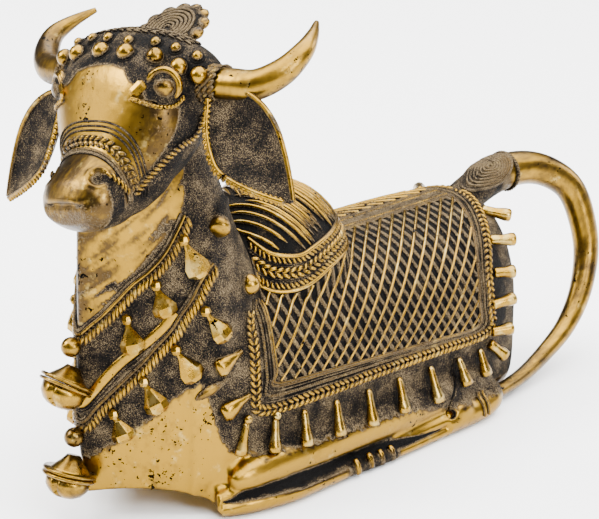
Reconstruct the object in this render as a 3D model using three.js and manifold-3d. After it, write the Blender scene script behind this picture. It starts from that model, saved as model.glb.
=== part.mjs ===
import * as THREE from 'three';
import { mergeVertices } from 'three/addons/utils/BufferGeometryUtils.js';
import Module from 'manifold-3d';

// A resting bull, cast in one piece in brass by the lost wax thread method. Millimetres.
// It faces -Y, its left flank looks to +X and it stands on z = 0. The pose is modelled about a
// middle plane at x = 0, and the finished casting is moved so that the middle of its underside
// is at the origin.

// Trunk: a long loaf from the chest to the rump.
const chestY = -112;
const rumpY = 136;
const backHeight = 110;
const trunkHalfWidth = 54;
const bellyHeight = 50;

// Neck: a column that comes down to the ground and ends in a keel in front.
const neckHeight = 186;
const neckFrontY = -150;
const neckMiddleY = -97;
const neckBackY = -40;
const neckHalfWidth = 46;

// Hump behind the neck, with ridges drawn down its sides and braided collars at its foot.
const humpCentreY = -27;
const humpHalfLength = 45;
const humpHalfWidth = 42;
const humpHeight = 143;
const ridgeCount = 9;
const ridgeDrift = 26;
const ridgeHeight = 2.8;
const collarCount = 2;
const collarWidth = 12;
const collarHeight = 2.4;

// Head: its own frame, nodding and turned a little towards the viewer's side.
const headPoint = new THREE.Vector3(0, neckFrontY + 40, neckHeight + 4);
const headYaw = THREE.MathUtils.degToRad(5);
const headRoll = THREE.MathUtils.degToRad(11.5);
const hornSlant = THREE.MathUtils.degToRad(4.7);
const pollHalfWidth = 50;
const muzzleHalfWidth = 19.5;
const cheekHalfWidth = 38;
const eyeRadius = 5.8;
const eyelidThickness = 1.9;
const nostrilRadius = 2.6;
const mouthDepth = 1.4;
const noseBandHeight = 2.2;

// Horns, ears and the round crest between the horns.
const hornRadius = 7.8;
const hornTipRadius = 1.3;
const hornCuffRadius = 9.8;
const earLength = 65.5;
const earHalfWidth = 17.5;
const earThickness = 3.4;
const earCup = 5.5;
const crestRadius = 17.6;
const crestPetals = 12;
const petalDepth = 3;
const crestThickness = 4.2;

// Beads over the brow.
const beadRadius = 3.8;

// Saddle cloth with a rope border, a spine band and a lattice of raised wires. Its hem and its
// rear edge are drawn by their angle round the trunk's long axis.
const saddleFrontY = -66;
const saddleRearY = 106;
const saddleRearLean = 26;
const hemFrontAngle = 12;
const hemRearAngle = -1;
const borderWidth = 11;
const borderHeight = 2.2;
const wireSpacing = 8.8;
const wireSlope = 1.5;
const wireHeight = 2.8;
const furrowHeight = 1.4;
const latticeTopAngle = 80;
const spineBandHalfWidth = 6;
const spineBandHeight = 1.8;
const hemDrops = 9;
const rearDrops = 6;
const hemDropLength = 15;
const rearDropLength = 17;
const dropRadius = 3.1;

// Garlands round the neck, with pendants, and two bells down the front.
const ropeRadius = 2.4;
const garlandEndAngle = 100;
const pendantBallRadius = 3.4;
const pendantDropRadius = 5.2;
const pendantDropLength = 15;
const bigBallRadius = 5.6;
const stubRadius = 5.6;
const bellRimRadius = 13.5;
const bellCupRadius = 10.5;
const bellHeight = 24;
const bellBallRadius = 4.9;
const bellSlitWidth = 1.6;

// Tail: a loop from the top of the rump to the ground beside the left hock.
const tailRootRadius = 9.8;
const tailEndRadius = 3.5;
const tailReach = 202;
const tailCapRadius = 9.5;

// Folded legs along the ground, and the swelling of the flank over them.
const legRadius = 6.2;
const legX = 59;
const bulgeX = 51.5;
const toeRadius = 4.4;
const toeCount = 3;

// The arches under both sides of the chest.
const archWidth = 84;
const archHeight = 16;

// How far an ornament sinks into the skin that carries it.
const sink = 2.5;

const wasm = await Module();
wasm.setup();

const at = (x, y, z) => new THREE.Vector3(x, y, z);
const rad = THREE.MathUtils.degToRad;
const mix = THREE.MathUtils.lerp;

// A closed body from rings of equal count, each a list of points, capped by fans at both ends.
function loft(rings) {
  const count = rings[0].length;
  const points = rings.flat();
  const index = [];
  for (let i = 0; i + 1 < rings.length; i += 1) {
    for (let j = 0; j < count; j += 1) {
      const a = i * count + j;
      const b = i * count + (j + 1) % count;
      index.push(a, b, b + count, a, b + count, a + count);
    }
  }
  for (const [start, order] of [[0, -1], [(rings.length - 1) * count, 1]]) {
    const middle = at(0, 0, 0);
    for (let j = 0; j < count; j += 1) middle.add(points[start + j]);
    points.push(middle.divideScalar(count));
    for (let j = 0; j < count; j += 1) {
      const a = start + j;
      const b = start + (j + 1) % count;
      index.push(...(order > 0 ? [a, b, points.length - 1] : [b, a, points.length - 1]));
    }
  }
  const geometry = new THREE.BufferGeometry().setFromPoints(points);
  geometry.setIndex(index);
  return geometry;
}

// A rounded ring: half sizes along two axes, its own size below the middle, squareness by power.
function ovalRing(centre, side, up, halfSide, above, below, powerAbove, count,
  powerBelow = powerAbove) {
  const ring = [];
  for (let j = 0; j < count; j += 1) {
    const turn = (2 * Math.PI * j) / count;
    const power = Math.sin(turn) < 0 ? powerBelow : powerAbove;
    const across = Math.sign(Math.cos(turn)) * Math.abs(Math.cos(turn)) ** (2 / power);
    const rise = Math.sign(Math.sin(turn)) * Math.abs(Math.sin(turn)) ** (2 / power);
    ring.push(centre.clone().addScaledVector(side, across * halfSide)
      .addScaledVector(up, rise * (rise > 0 ? above : below)));
  }
  return ring;
}

// A round tube through points, its radius running through the given list.
function taperedTube(points, radii, sides, steps) {
  const curve = new THREE.CatmullRomCurve3(points, false, 'centripetal');
  const frames = curve.computeFrenetFrames(steps, false);
  const rings = [];
  for (let i = 0; i <= steps; i += 1) {
    const place = (i / steps) * (radii.length - 1);
    const from = Math.min(Math.floor(place), radii.length - 2);
    const radius = mix(radii[from], radii[from + 1], place - from);
    rings.push(ovalRing(curve.getPointAt(i / steps), frames.normals[i], frames.binormals[i],
      radius, radius, radius, 2, sides));
  }
  return loft(rings);
}

function ball(centre, radius, across = 5, down = 3) {
  return new THREE.SphereGeometry(radius, across, down).translate(centre.x, centre.y, centre.z);
}

// A drop that hangs from one point to another, thin at the start and full near the end.
function drop(from, to, radius) {
  return taperedTube([from, from.clone().lerp(to, 0.5), to],
    [0.5 * radius, 1.1 * radius, 0.55 * radius], 4, 2);
}

// A peg that widens to a blunt foot.
function peg(from, to, radius) {
  return taperedTube([from, to], [0.5 * radius, radius], 3, 1);
}

// Six times the volume inside a list of triangles, negative where they are wound inside out.
function windingOf(points, corners) {
  const [a, b, c] = [at(0, 0, 0), at(0, 0, 0), at(0, 0, 0)];
  let sum = 0;
  for (let i = 0; i < corners.length; i += 3) {
    a.fromBufferAttribute(points, corners[i]);
    b.fromBufferAttribute(points, corners[i + 1]);
    c.fromBufferAttribute(points, corners[i + 2]);
    sum += a.dot(b.cross(c));
  }
  return sum;
}

// The closed solid of a geometry, wound outwards, and the way back.
function solid(geometry) {
  const bare = geometry.clone();
  bare.deleteAttribute('normal');
  bare.deleteAttribute('uv');
  const merged = mergeVertices(bare, 1e-4);
  const corners = merged.index.array;
  const kept = [];
  for (let i = 0; i < corners.length; i += 3) {
    const [a, b, c] = [corners[i], corners[i + 1], corners[i + 2]];
    if (a !== b && b !== c && c !== a) kept.push(a, b, c);
  }
  if (windingOf(merged.attributes.position, kept) < 0) kept.reverse();
  const vertProperties = Float32Array.from(merged.attributes.position.array);
  return new wasm.Manifold(new wasm.Mesh({
    numProp: 3, vertProperties, triVerts: Uint32Array.from(kept) }));
}

function geometryOf(body) {
  const mesh = body.getMesh();
  const geometry = new THREE.BufferGeometry();
  geometry.setAttribute('position', new THREE.BufferAttribute(mesh.vertProperties.slice(), 3));
  geometry.setIndex(new THREE.BufferAttribute(mesh.triVerts.slice(), 1));
  return geometry;
}

function join(geometries) {
  let bodies = geometries.map(solid);
  while (bodies.length > 1) {
    const next = [];
    for (let i = 0; i < bodies.length; i += 2) {
      next.push(i + 1 < bodies.length ? bodies[i].add(bodies[i + 1]) : bodies[i]);
    }
    bodies = next;
  }
  return bodies[0];
}

// Finds the first place where a line from outside meets a skin, with the outward normal there.
function skinOf(body) {
  const mesh = new THREE.Mesh(geometryOf(body), new THREE.MeshBasicMaterial());
  mesh.updateMatrixWorld();
  const caster = new THREE.Raycaster();
  return (from, towards) => {
    caster.set(from, towards.clone().sub(from).normalize());
    const [first] = caster.intersectObject(mesh);
    return { point: first.point, normal: first.face.normal.clone() };
  };
}

// A raised strand that follows places found on a skin, mitred where it turns. Its outline is
// given across and outwards.
function strand(places, outline) {
  const last = places.length - 1;
  const rings = places.map(({ point, normal }, i) => {
    const into = point.clone().sub(places[Math.max(i - 1, 0)].point).normalize();
    const onward = places[Math.min(i + 1, last)].point.clone().sub(point).normalize();
    const along = into.clone().add(onward).normalize();
    const mitre = i === 0 || i === last ? 1 : 1 / along.dot(onward);
    const across = along.clone().cross(normal).normalize();
    const out = across.clone().cross(along);
    return outline.map(([a, n]) => point.clone().addScaledVector(across, a * mitre)
      .addScaledVector(out, n));
  });
  return loft(rings);
}

// A ridged sheet on a skin: lines of places side by side, raised to a crest and a furrow by turns.
function ridgedSheet(lines, crest, furrow) {
  return loft(lines.map((line, i) => {
    const rise = i % 2 ? crest : furrow;
    const lift = ({ point, normal }, height) => point.clone().addScaledVector(normal, height);
    return [...line.map((place) => lift(place, rise)),
      ...line.map((place) => lift(place, -2 * sink)).reverse()];
  }));
}

const ropeOutline = (r) => [[1.15 * r, -sink], [0, 1.1 * r], [-1.15 * r, -sink]];

// The outline of a band of equal ropes side by side.
function bandOutline(halfWidth, height, ropes) {
  const outline = [[halfWidth, -2 * sink]];
  for (let k = 0; k < 2 * ropes - 1; k += 1) {
    const across = halfWidth * (1 - (k + 1) / ropes);
    outline.push([across, k % 2 ? 0.35 * height : height]);
  }
  return [...outline, [-halfWidth, -2 * sink]];
}

// Trunk, shares of its length, height and width, with the power that squares its shoulders.
const trunkStations = [
  [0, 0.86, 0.74, 2.8], [0.1, 0.95, 0.9, 2.8], [0.3, 0.96, 1, 2.7], [0.76, 0.96, 0.98, 2.4],
  [0.9, 0.955, 0.88, 2.2], [0.96, 0.93, 0.7, 2.2], [1, 0.84, 0.32, 2]];

function trunk() {
  const below = bellyHeight + 12;
  return loft(trunkStations.map(([share, height, width, power]) => {
    const centre = at(0, mix(chestY, rumpY, share), bellyHeight);
    return ovalRing(centre, at(-1, 0, 0), at(0, 0, 1), width * trunkHalfWidth,
      height * backHeight - bellyHeight, below, power, 16, 6);
  }));
}

// Neck: shares of its height, of its depth off the front and the back, and of its width, then
// the power of the keel in front, near 1 where it is a wedge, and of the back.
const neckStations = [
  [-0.04, 0.06, 0, 0.95, 1.15, 2], [0.03, 0.04, 0, 1, 1.15, 2], [0.27, 0.01, 0, 1, 1.2, 2],
  [0.54, 0.02, 0.05, 0.95, 1.15, 2.2], [0.75, 0.03, 0.2, 0.8, 1.2, 2.2],
  [0.88, 0.07, 0.28, 0.68, 1.6, 2.2], [1, 0.15, 0.36, 0.56, 2, 2.2]];

function neck() {
  const depth = neckBackY - neckFrontY;
  return loft(neckStations.map(([height, front, back, width, keelPower, backPower]) => {
    const frontY = neckFrontY + front * depth;
    const backY = neckBackY - back * depth;
    return ovalRing(at(0, neckMiddleY, height * neckHeight), at(1, 0, 0), at(0, 1, 0),
      width * neckHalfWidth, backY - neckMiddleY, neckMiddleY - frontY, backPower, 14, keelPower);
  }));
}

// The hump is a rounded dome whose top leans back over its foot.
function hump() {
  const foot = backHeight - 22;
  return loft([0, 0.45, 0.75, 0.93, 1].map((share) => {
    const spread = Math.sqrt(Math.max(1 - share ** 2.4, 0.02));
    const centre = at(0, humpCentreY + 2 * share, mix(foot, humpHeight, share));
    return ovalRing(centre, at(1, 0, 0), at(0, 1, 0), humpHalfWidth * spread,
      humpHalfLength * spread, humpHalfLength * spread, 2.1, 16);
  }));
}

// A soft swelling along the foot of each flank, over the folded legs.
function flankBulge(side) {
  const stations = [[-98, 0.3], [-84, 0.8], [-40, 1], [40, 1], [76, 0.8], [92, 0.3]];
  return loft(stations.map(([y, share]) => ovalRing(at(side * bulgeX, y, 19), at(-1, 0, 0),
    at(0, 0, 1), 9.5 * share, 11 * share, 11 * share, 2, 8)));
}

// How far outside the casting the lines start that look for its skin.
const outsideReach = 3 * neckHeight;

const core = join([trunk(), neck(), hump(), flankBulge(1), flankBulge(-1)]);
const skin = skinOf(core);

// A place on the flank, by its angle round the trunk's long axis, 0 level and 90 on the spine.
function flankPlace(side, y, angle) {
  const axis = at(0, y, bellyHeight);
  const outside = at(side * Math.cos(rad(angle)), 0, Math.sin(rad(angle))).multiplyScalar(outsideReach);
  return skin(axis.clone().add(outside), axis);
}

// A place on the neck, by its angle from the front round the neck's upright axis and its height.
function neckPlace(side, angle, height) {
  const axis = at(0, neckMiddleY, height);
  const outside = at(side * Math.sin(rad(angle)), -Math.cos(rad(angle)), 0).multiplyScalar(outsideReach);
  return skin(axis.clone().add(outside), axis);
}

function spread(from, to, steps, place) {
  return Array.from({ length: steps + 1 }, (_, i) => place(mix(from, to, i / steps)));
}

// The hem drops towards the rear, and the rear edge leans forward as it comes down.
const hemAngle = (y) => mix(hemFrontAngle, hemRearAngle,
  (y - saddleFrontY) / (saddleRearY - saddleRearLean - saddleFrontY));
const rearEdge = (angle) => saddleRearY
  - saddleRearLean * Math.cos(rad(Math.max(angle, 0))) ** 1.6;

function saddleBorder(side) {
  const half = borderWidth / 2;
  const lower = (half * 180) / (Math.PI * trunkHalfWidth);
  const frontY = saddleFrontY - half;
  const hemFoot = hemAngle(frontY) - lower;
  const front = spread(50, hemFoot, 2, (angle) => flankPlace(side, frontY, angle));
  const hem = spread(0, 1, 4, (t) => {
    const y = mix(frontY, rearEdge(0) + half, t);
    return flankPlace(side, y, hemAngle(y) - lower);
  }).slice(1);
  const rear = spread(hemRearAngle - lower, 88, 5, (angle) => (
    flankPlace(side, rearEdge(angle) + half, angle))).slice(1);
  return strand([...front, ...hem, ...rear], bandOutline(half + 0.5, borderHeight, 2));
}

function spineBand() {
  const line = spread(humpCentreY + humpHalfLength + 6, saddleRearY + 4, 4, (y) => (
    skin(at(0, y, 300), at(0, y, bellyHeight))));
  const half = spineBandHalfWidth;
  return strand(line, [[half, -sink - 1], [half - 1, spineBandHeight],
    [1 - half, spineBandHeight], [-half, -sink - 1]]);
}

// The lattice: wires climb from the hem towards the rear, cut off by the borders and the hump.
// The right side is plainer, with every second wire.
function lattice(side) {
  const lines = [];
  const first = saddleFrontY - wireSlope * 0.45 * latticeTopAngle;
  const spacing = side > 0 ? wireSpacing : 2 * wireSpacing;
  for (let foot = first; foot < rearEdge(0) - 2; foot += spacing / 2) {
    const inside = spread(0, latticeTopAngle, 60, (angle) => [foot + wireSlope * angle, angle])
      .filter(([y, angle]) => {
        const plan = Math.hypot((y - humpCentreY) / (humpHalfLength + collarWidth),
          (trunkHalfWidth * Math.cos(rad(angle))) / (humpHalfWidth + collarWidth - 3));
        return y > saddleFrontY && y < rearEdge(angle) && angle > hemAngle(y)
          && (plan > 1 || angle < 50);
      });
    if (inside.length < 6) continue;
    const [low, high] = [inside[0], inside[inside.length - 1]];
    lines.push(spread(0, 1, 4, (t) => (
      flankPlace(side, mix(low[0], high[0], t), mix(low[1], high[1], t)))));
  }
  return ridgedSheet(lines, wireHeight, furrowHeight);
}

// Drops that hang from the hem, and others that stand out from the rear edge.
function hemFringe(side) {
  const drops = [];
  for (let k = 0; k < hemDrops; k += 1) {
    const share = k / (hemDrops - 1);
    const y = mix(saddleFrontY - 17, saddleRearY - 16, share);
    const topZ = mix(46, 33, share);
    const footZ = topZ - mix(1.1, 0.85, share) * hemDropLength;
    const top = skin(at(side * 300, y, topZ), at(0, y, topZ));
    const foot = skin(at(side * 300, y - 3, footZ), at(0, y - 3, footZ));
    drops.push(peg(top.point.addScaledVector(top.normal, 0.6),
      foot.point.addScaledVector(foot.normal, 1), mix(1.2, 0.9, share) * dropRadius));
  }
  for (let k = 0; k < rearDrops; k += 1) {
    const angle = mix(62, -36, k / (rearDrops - 1));
    const { point } = flankPlace(side, rearEdge(angle) + borderWidth, angle);
    const out = at(0.35 * side, 0.94, 0);
    drops.push(peg(point.clone().addScaledVector(out, -3),
      point.clone().addScaledVector(out, rearDropLength - 3), 0.9 * dropRadius));
  }
  return drops;
}

function humpRidges(side) {
  const count = side > 0 ? ridgeCount : Math.round(ridgeCount / 2);
  const lines = spread(0, 1, 2 * count, (share) => {
    const topY = mix(humpCentreY - 36, humpCentreY + 27, share);
    const reach = mix(ridgeDrift, 8, share);
    return spread(86, 34, 3, (angle) => {
      const y = topY + (reach * (86 - angle)) / 58;
      const axis = at(0, y, backHeight - 12);
      return skin(axis.clone().add(at(side * Math.cos(rad(angle)), 0, Math.sin(rad(angle)))
        .multiplyScalar(200)), axis);
    });
  });
  return ridgedSheet(lines, ridgeHeight, furrowHeight);
}

// A band of braided collars lies round the hump's foot, open in front where the neck rises.
function humpCollars() {
  const line = spread(-58, 238, 10, (turn) => {
    const x = (humpHalfWidth + 0.3 * collarWidth) * Math.cos(rad(turn));
    const y = humpCentreY + (humpHalfLength + 0.5 * collarWidth) * Math.sin(rad(turn));
    return skin(at(1.6 * x, y, 300), at(0.82 * x, y, backHeight - 20));
  });
  return strand(line, bandOutline(collarWidth / 2, collarHeight, collarCount));
}

// Each garland rises from the front of the neck towards its side as a sine of the angle. A
// pendant is given by the angles of its drop and its ball, and the height of the drop.
const garlands = [
  { low: 92, rise: 55, rate: 0.95, pendants: [[77, 70, 128], [53, 46, 111], [29, 26, 93]] },
  { low: 44, rise: 89, rate: 0.7, pendants: [[88, 80, 97], [70, 60, 79], [47, 37, 62],
    [24, 18, 47]] }];
const garlandHeight = ({ low, rise, rate }, angle) => low + rise * Math.sin(rad(rate * angle));

function garlandRope(garland) {
  const line = spread(-garlandEndAngle, garlandEndAngle, 10, (angle) => (
    neckPlace(1, angle, garlandHeight(garland, Math.abs(angle)))));
  return strand(line, ropeOutline(ropeRadius));
}

// On the right side the pendants are plain drops.
function pendants(side, garland) {
  const pieces = [];
  for (const [dropAngle, ballAngle, height] of garland.pendants) {
    const above = neckPlace(side, ballAngle, height + 11);
    const heart = above.point.clone().addScaledVector(above.normal, 1.6);
    const low = neckPlace(side, dropAngle, height - 4);
    const end = low.point.clone().addScaledVector(low.normal, 1.8);
    const start = end.clone().lerp(heart, 0.92 * pendantDropLength / end.distanceTo(heart));
    pieces.push(drop(start, end, pendantDropRadius));
    if (side > 0) pieces.push(ball(heart, pendantBallRadius, 4));
  }
  return pieces;
}

// Shoulder pieces: a round stub below the ear, a ball, and two drops laid level.
function shoulderPieces(side) {
  const stub = taperedTube([at(side * 26, -86, 170), at(side * 35, -90, 148)],
    [stubRadius, stubRadius, 0.7 * stubRadius], 8, 2);
  const pieces = [stub];
  const place = skin(at(side * 300, -75, 112), at(0, -75, 112));
  pieces.push(ball(place.point.clone().addScaledVector(place.normal, 2), bigBallRadius, 7, 4));
  for (const height of [80, 57]) {
    const [front, back] = [-99, -83].map((y) => skin(at(side * 300, y, height), at(0, y, height)));
    pieces.push(drop(back.point.clone().addScaledVector(back.normal, 1),
      front.point.clone().addScaledVector(front.normal, 1.8), pendantDropRadius));
  }
  return pieces;
}

// A round bell with a rim, a ball above it and a slit in the cup. It leans back with its top.
const bells = [{ height: 72.5, lean: rad(33) }, { height: 26, lean: rad(14) }];

function bell({ height, lean }) {
  const ring = (radius, rise) => ovalRing(at(0, 0, rise * bellHeight), at(1, 0, 0), at(0, 1, 0),
    radius, radius, radius, 2, 7);
  const cup = [[0.68, 0], [1, 0.1], [1, 0.36]]
    .map(([share, rise]) => ring(share * bellCupRadius, rise));
  const hood = [[1, 0.42], [0.98, 0.5], [0.5, 0.7], [0.2, 1]]
    .map(([share, rise]) => ring(share * bellRimRadius, rise));
  const body = loft([...cup, ...hood]);
  const slit = new THREE.BoxGeometry(bellSlitWidth, bellCupRadius, 0.3 * bellHeight)
    .translate(-0.25 * bellCupRadius, -bellCupRadius, 0.15 * bellHeight);
  const pieces = [body, slit].map((piece) => piece.translate(0, 0, -0.45 * bellHeight)
    .rotateX(-lean).translate(0, neckFrontY - 6, height));
  const heart = at(0, neckFrontY - 6, height);
  const knob = at(0, neckFrontY - 2.5, height + 0.74 * bellHeight);
  const stem = taperedTube([heart, knob], [0.6 * bellRimRadius, 0.6 * bellBallRadius], 6, 1);
  return geometryOf(solid(pieces[0]).subtract(solid(pieces[1]))
    .add(join([stem, ball(knob, bellBallRadius, 6, 4)])));
}

// The tail swings back in a loop and comes down beside the left hock.
const tailLine = [[0, 118, 96], [0, 140, 103], [0, 161, 106], [4, 178, 105], [10, 190, 100],
  [16, 199, 91], [22, 202, 77], [28, 201, 57], [34, 190, 37], [38, 173, 21.5], [42, 150, 12.5],
  [47, 124, 7.5], [51, 98, 6.5], [53, 76, 6.5]];

function tail() {
  const stretch = (tailReach - rumpY) / (202 - rumpY);
  const points = tailLine.map(([x, y, z]) => at(x, y > rumpY ? rumpY + (y - rumpY) * stretch : y,
    z));
  const shares = [1, 1, 0.98, 0.88, 0.8, 0.75, 0.7, 0.58, 0.47, 0.34, 0.2, 0.05, 0, 0];
  const radii = shares.map((share) => mix(tailEndRadius, tailRootRadius, share));
  return taperedTube(points, radii, 8, 14);
}

// A coiled cap over the tail's root, and a rope ring behind it.
function tailRoot() {
  const cap = loft([[0, 1], [2, 1], [4, 0.5]].map(([rise, share]) => {
    const tiltUp = at(0, -0.35, 0.94);
    return ovalRing(at(0, 146, 108).addScaledVector(tiltUp, rise), at(1, 0, 0),
      at(0, 0.94, 0.35), tailCapRadius * share, tailCapRadius * share, tailCapRadius * share, 2, 8);
  }));
  const ring = taperedTube([at(0, 152, 105), at(0, 158, 105.6)],
    [tailRootRadius, tailRootRadius + 1.8, tailRootRadius], 8, 2);
  return [cap, ring];
}

// The fore shank runs back from the knee and the hind shank runs forward from the hock.
function legs(side) {
  const fore = taperedTube([at(side * 46, -100, 6), at(side * (legX - 5), -84, 6),
    at(side * legX, -50, 5), at(side * (legX + 1), -24, 5)],
    [1.3 * legRadius, 1.25 * legRadius, legRadius, 0.9 * legRadius, 0.6 * legRadius], 6, 3);
  const hind = taperedTube([at(side * 50, 84, 12), at(side * 55, 89, 7),
    at(side * (legX - 1), 74, 5.5), at(side * (legX + 1), 30, 5), at(side * legX, -22, 4.5)],
    [legRadius, 1.2 * legRadius, legRadius, 0.85 * legRadius, 0.75 * legRadius], 6, 5);
  const toes = Array.from({ length: toeCount }, (_, k) => ball(
    at(side * (legX + 2.5), -20 + 12 * k, 3.6), toeRadius, 4));
  return [fore, hind, ...toes];
}

// Head rings: face point and jaw point in the head's middle plane, half width, section's power.
const headStations = [
  [26, 24, 28, 2, 18, 2], [17, 36, 18, -16, 34, 2.2], [3, 39, 6, -26, cheekHalfWidth, 2.4],
  [-10, 36, -3, -31, cheekHalfWidth - 1, 2.4], [-18, 27, -8, -35, cheekHalfWidth - 3, 2.4],
  [-24, 14, -12, -37, cheekHalfWidth - 7, 2.4], [-29, 3, -16, -39, cheekHalfWidth - 12, 2.3],
  [-33, -3, -21, -40, muzzleHalfWidth + 1.5, 2.2], [-38, -7, -28, -41, muzzleHalfWidth, 2.2],
  [-44, -11, -36, -40, muzzleHalfWidth - 0.5, 2.2], [-50, -17, -45, -39, muzzleHalfWidth - 3.5, 2.1],
  [-53, -23, -51, -34, muzzleHalfWidth - 9, 2]];

function headRing([faceY, faceZ, jawY, jawZ, halfWidth, power], grow = 1) {
  const face = at(0, faceY, faceZ);
  const jaw = at(0, jawY, jawZ);
  const up = face.clone().sub(jaw);
  const half = (grow * up.length()) / 2;
  return ovalRing(face.clone().add(jaw).divideScalar(2), at(-1, 0, 0), up.normalize(),
    grow * halfWidth, half, half, power, 12);
}

// The poll carries the horns, and they slant a little against the face and the ears.
const slanted = (geometry) => geometry.rotateY(hornSlant);

function poll() {
  return slanted(new THREE.SphereGeometry(1, 10, 7).rotateZ(Math.PI / 2)
    .scale(pollHalfWidth, 19, 21).translate(0, 10, 23));
}

function headCore() {
  const face = loft(headStations.map((station) => headRing(station)));
  return join([face, poll()]);
}

const headBody = headCore();
const headSkin = skinOf(headBody);

function noseBand() {
  const between = (share) => headStations[6].map((value, i) => (
    mix(value, headStations[7][i], share)));
  const grow = 1 + noseBandHeight / muzzleHalfWidth;
  return loft([headRing(between(-0.1), 0.95), headRing(between(0.2), grow),
    headRing(between(1.1), grow), headRing(between(1.4), 0.95)]);
}

// Eye: a proud ball between two thick lids that meet at both corners.
function eye(side) {
  const ballHeart = at(side * 31.5, -9, 20);
  const loop = [[25, -21, 16], [29, -15, 24], [34, -8, 27], [37, -2, 21], [36.5, -4, 13],
    [33, -12, 10], [28, -18, 12], [25, -21, 16]].map(([x, y, z]) => at(side * x, y, z));
  const lids = taperedTube(loop, [eyelidThickness, eyelidThickness], 3, 7);
  return [ball(ballHeart, eyeRadius, 6, 4), lids];
}

// Horn: it leaves the poll sideways, turns back and up and ends in a blunt point.
function horn(side) {
  const line = [[40, 9, 21], [54, 11, 21], [67, 14, 21], [77, 22, 26], [81, 32, 33],
    [78, 43, 38], [72, 54, 42]].map(([x, y, z]) => at(side * x, y, z));
  const shares = [1, 1, 0.93, 0.8, 0.6, 0.35, 0];
  const radii = shares.map((share) => mix(hornTipRadius, hornRadius, share));
  const cuff = taperedTube([at(side * 45, 10, 22), at(side * 56, 11.3, 22)],
    [hornRadius, hornCuffRadius, hornRadius], 6, 2);
  return [taperedTube(line, radii, 6, 7), cuff];
}

// Ear: a cupped leaf that hangs outwards, hollow side to the front.
function ear(side) {
  const along = at(side * 0.698, -0.107, -0.708).normalize();
  const across = at(side * 0.68, 0.42, 0.6).normalize();
  const hollow = along.clone().cross(across).multiplyScalar(side).normalize();
  const base = at(side * 50, 6, 13).addScaledVector(across, -3);
  const stations = [[-0.22, 0.4], [0.08, 0.68], [0.22, 0.94], [0.38, 1.04], [0.55, 0.94],
    [0.75, 0.62], [0.92, 0.26], [1, 0.07]];
  return loft(stations.map(([share, width]) => {
    const half = width * earHalfWidth;
    const centre = base.clone().addScaledVector(along, share * earLength);
    const ring = ovalRing(centre, across, hollow, half, 0.5 * earThickness, 0.5 * earThickness,
      2, 8);
    return ring.map((point) => {
      const offset = point.clone().sub(centre).dot(across) / half;
      return point.addScaledVector(hollow, earCup * width * (offset ** 2 - 0.45));
    });
  }));
}

// Crest: a scalloped round plate that leans back over the poll on a short neck.
function crest() {
  const lean = rad(62);
  const up = at(0, -Math.cos(lean), Math.sin(lean));
  const back = at(0, Math.sin(lean), Math.cos(lean));
  const centre = at(-4.5, 35, 38.5);
  const count = crestPetals * 2;
  const plate = (rise, grow) => Array.from({ length: count }, (_, j) => {
    const turn = (2 * Math.PI * j) / count;
    const radius = grow * (crestRadius + (j % 2 ? 0 : petalDepth));
    return centre.clone().addScaledVector(at(1, 0, 0), radius * Math.cos(turn))
      .addScaledVector(back, radius * Math.sin(turn)).addScaledVector(up, rise);
  });
  const half = crestThickness / 2;
  const stem = taperedTube([at(0, 14, 20), at(0, 33, 34), centre.clone()],
    [14, 15, 0.75 * crestRadius], 8, 2);
  return [loft([plate(-half, 1), plate(half, 0.96)]), stem];
}

// A row of beads over the brow.
function beads() {
  return [[-30, 3, 37], [-15, 4, 36], [-2, 6, 35], [12, 11, 31], [26, 12, 27], [38, 11, 23]]
    .map(([x, y, z]) => {
      const heart = at(x, y, z - 8).applyAxisAngle(at(0, 1, 0), hornSlant);
      const { point, normal } = headSkin(heart.clone().add(at(0, -135, 68)), heart);
      return ball(point.addScaledVector(normal, 0.35 * beadRadius), beadRadius);
    });
}

// Nostrils and the line of the mouth are cut into the muzzle.
function faceCuts() {
  const nostrils = [1, -1].map((side) => {
    const { point } = headSkin(at(side * 30, -70, 10), at(side * 12, -39, -16));
    return ball(point, nostrilRadius, 4);
  });
  const lip = spread(-1, 1, 4, (share) => {
    const turn = rad(72 * share);
    const towards = at(0, -36, -26);
    const from = towards.clone().add(at(Math.sin(turn), -Math.cos(turn), 0).multiplyScalar(80));
    const { point, normal } = headSkin(from, towards);
    return point.addScaledVector(normal, 0.3);
  });
  return [...nostrils, taperedTube(lip, [mouthDepth, mouthDepth], 3, 4)];
}

function head() {
  const raised = join([noseBand(), ...crest().map(slanted), ...beads(),
    ...[1, -1].flatMap((side) => [...eye(side), ...horn(side).map(slanted),
      ear(side)])]);
  const cuts = join(faceCuts());
  const frame = new THREE.Matrix4().makeTranslation(headPoint.x, headPoint.y, headPoint.z)
    .multiply(new THREE.Matrix4().makeRotationZ(headYaw))
    .multiply(new THREE.Matrix4().makeRotationY(-headRoll));
  return geometryOf(headBody.add(raised).subtract(cuts)).applyMatrix4(frame);
}

// The ground cuts the casting off flat, and an arch opens below each side of the chest.
const groundWidth = 12 * trunkHalfWidth;
const groundLength = 4 * (rumpY - neckFrontY);
const groundDepth = neckHeight;

function groundCut() {
  const ground = new THREE.BoxGeometry(groundWidth, groundLength, groundDepth)
    .translate(0, 0, -groundDepth / 2);
  const arches = [1, -1].map((side) => new THREE.CylinderGeometry(1, 1, 60, 12)
    .scale(archWidth / 2, 1, archHeight).rotateZ(side * rad(48))
    .translate(side * 18, neckFrontY + 20, 0));
  return join([ground, ...arches]);
}

const sides = [1, -1];
const ornaments = [spineBand(), humpCollars(), ...garlands.map(garlandRope), ...bells.map(bell),
  ...sides.flatMap((side) => [saddleBorder(side), lattice(side), ...hemFringe(side),
    humpRidges(side), ...garlands.flatMap((garland) => pendants(side, garland)),
    ...shoulderPieces(side), ...legs(side)])];
const casting = core.add(join([...ornaments, head(), tail(), ...tailRoot()]))
  .subtract(groundCut());

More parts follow.
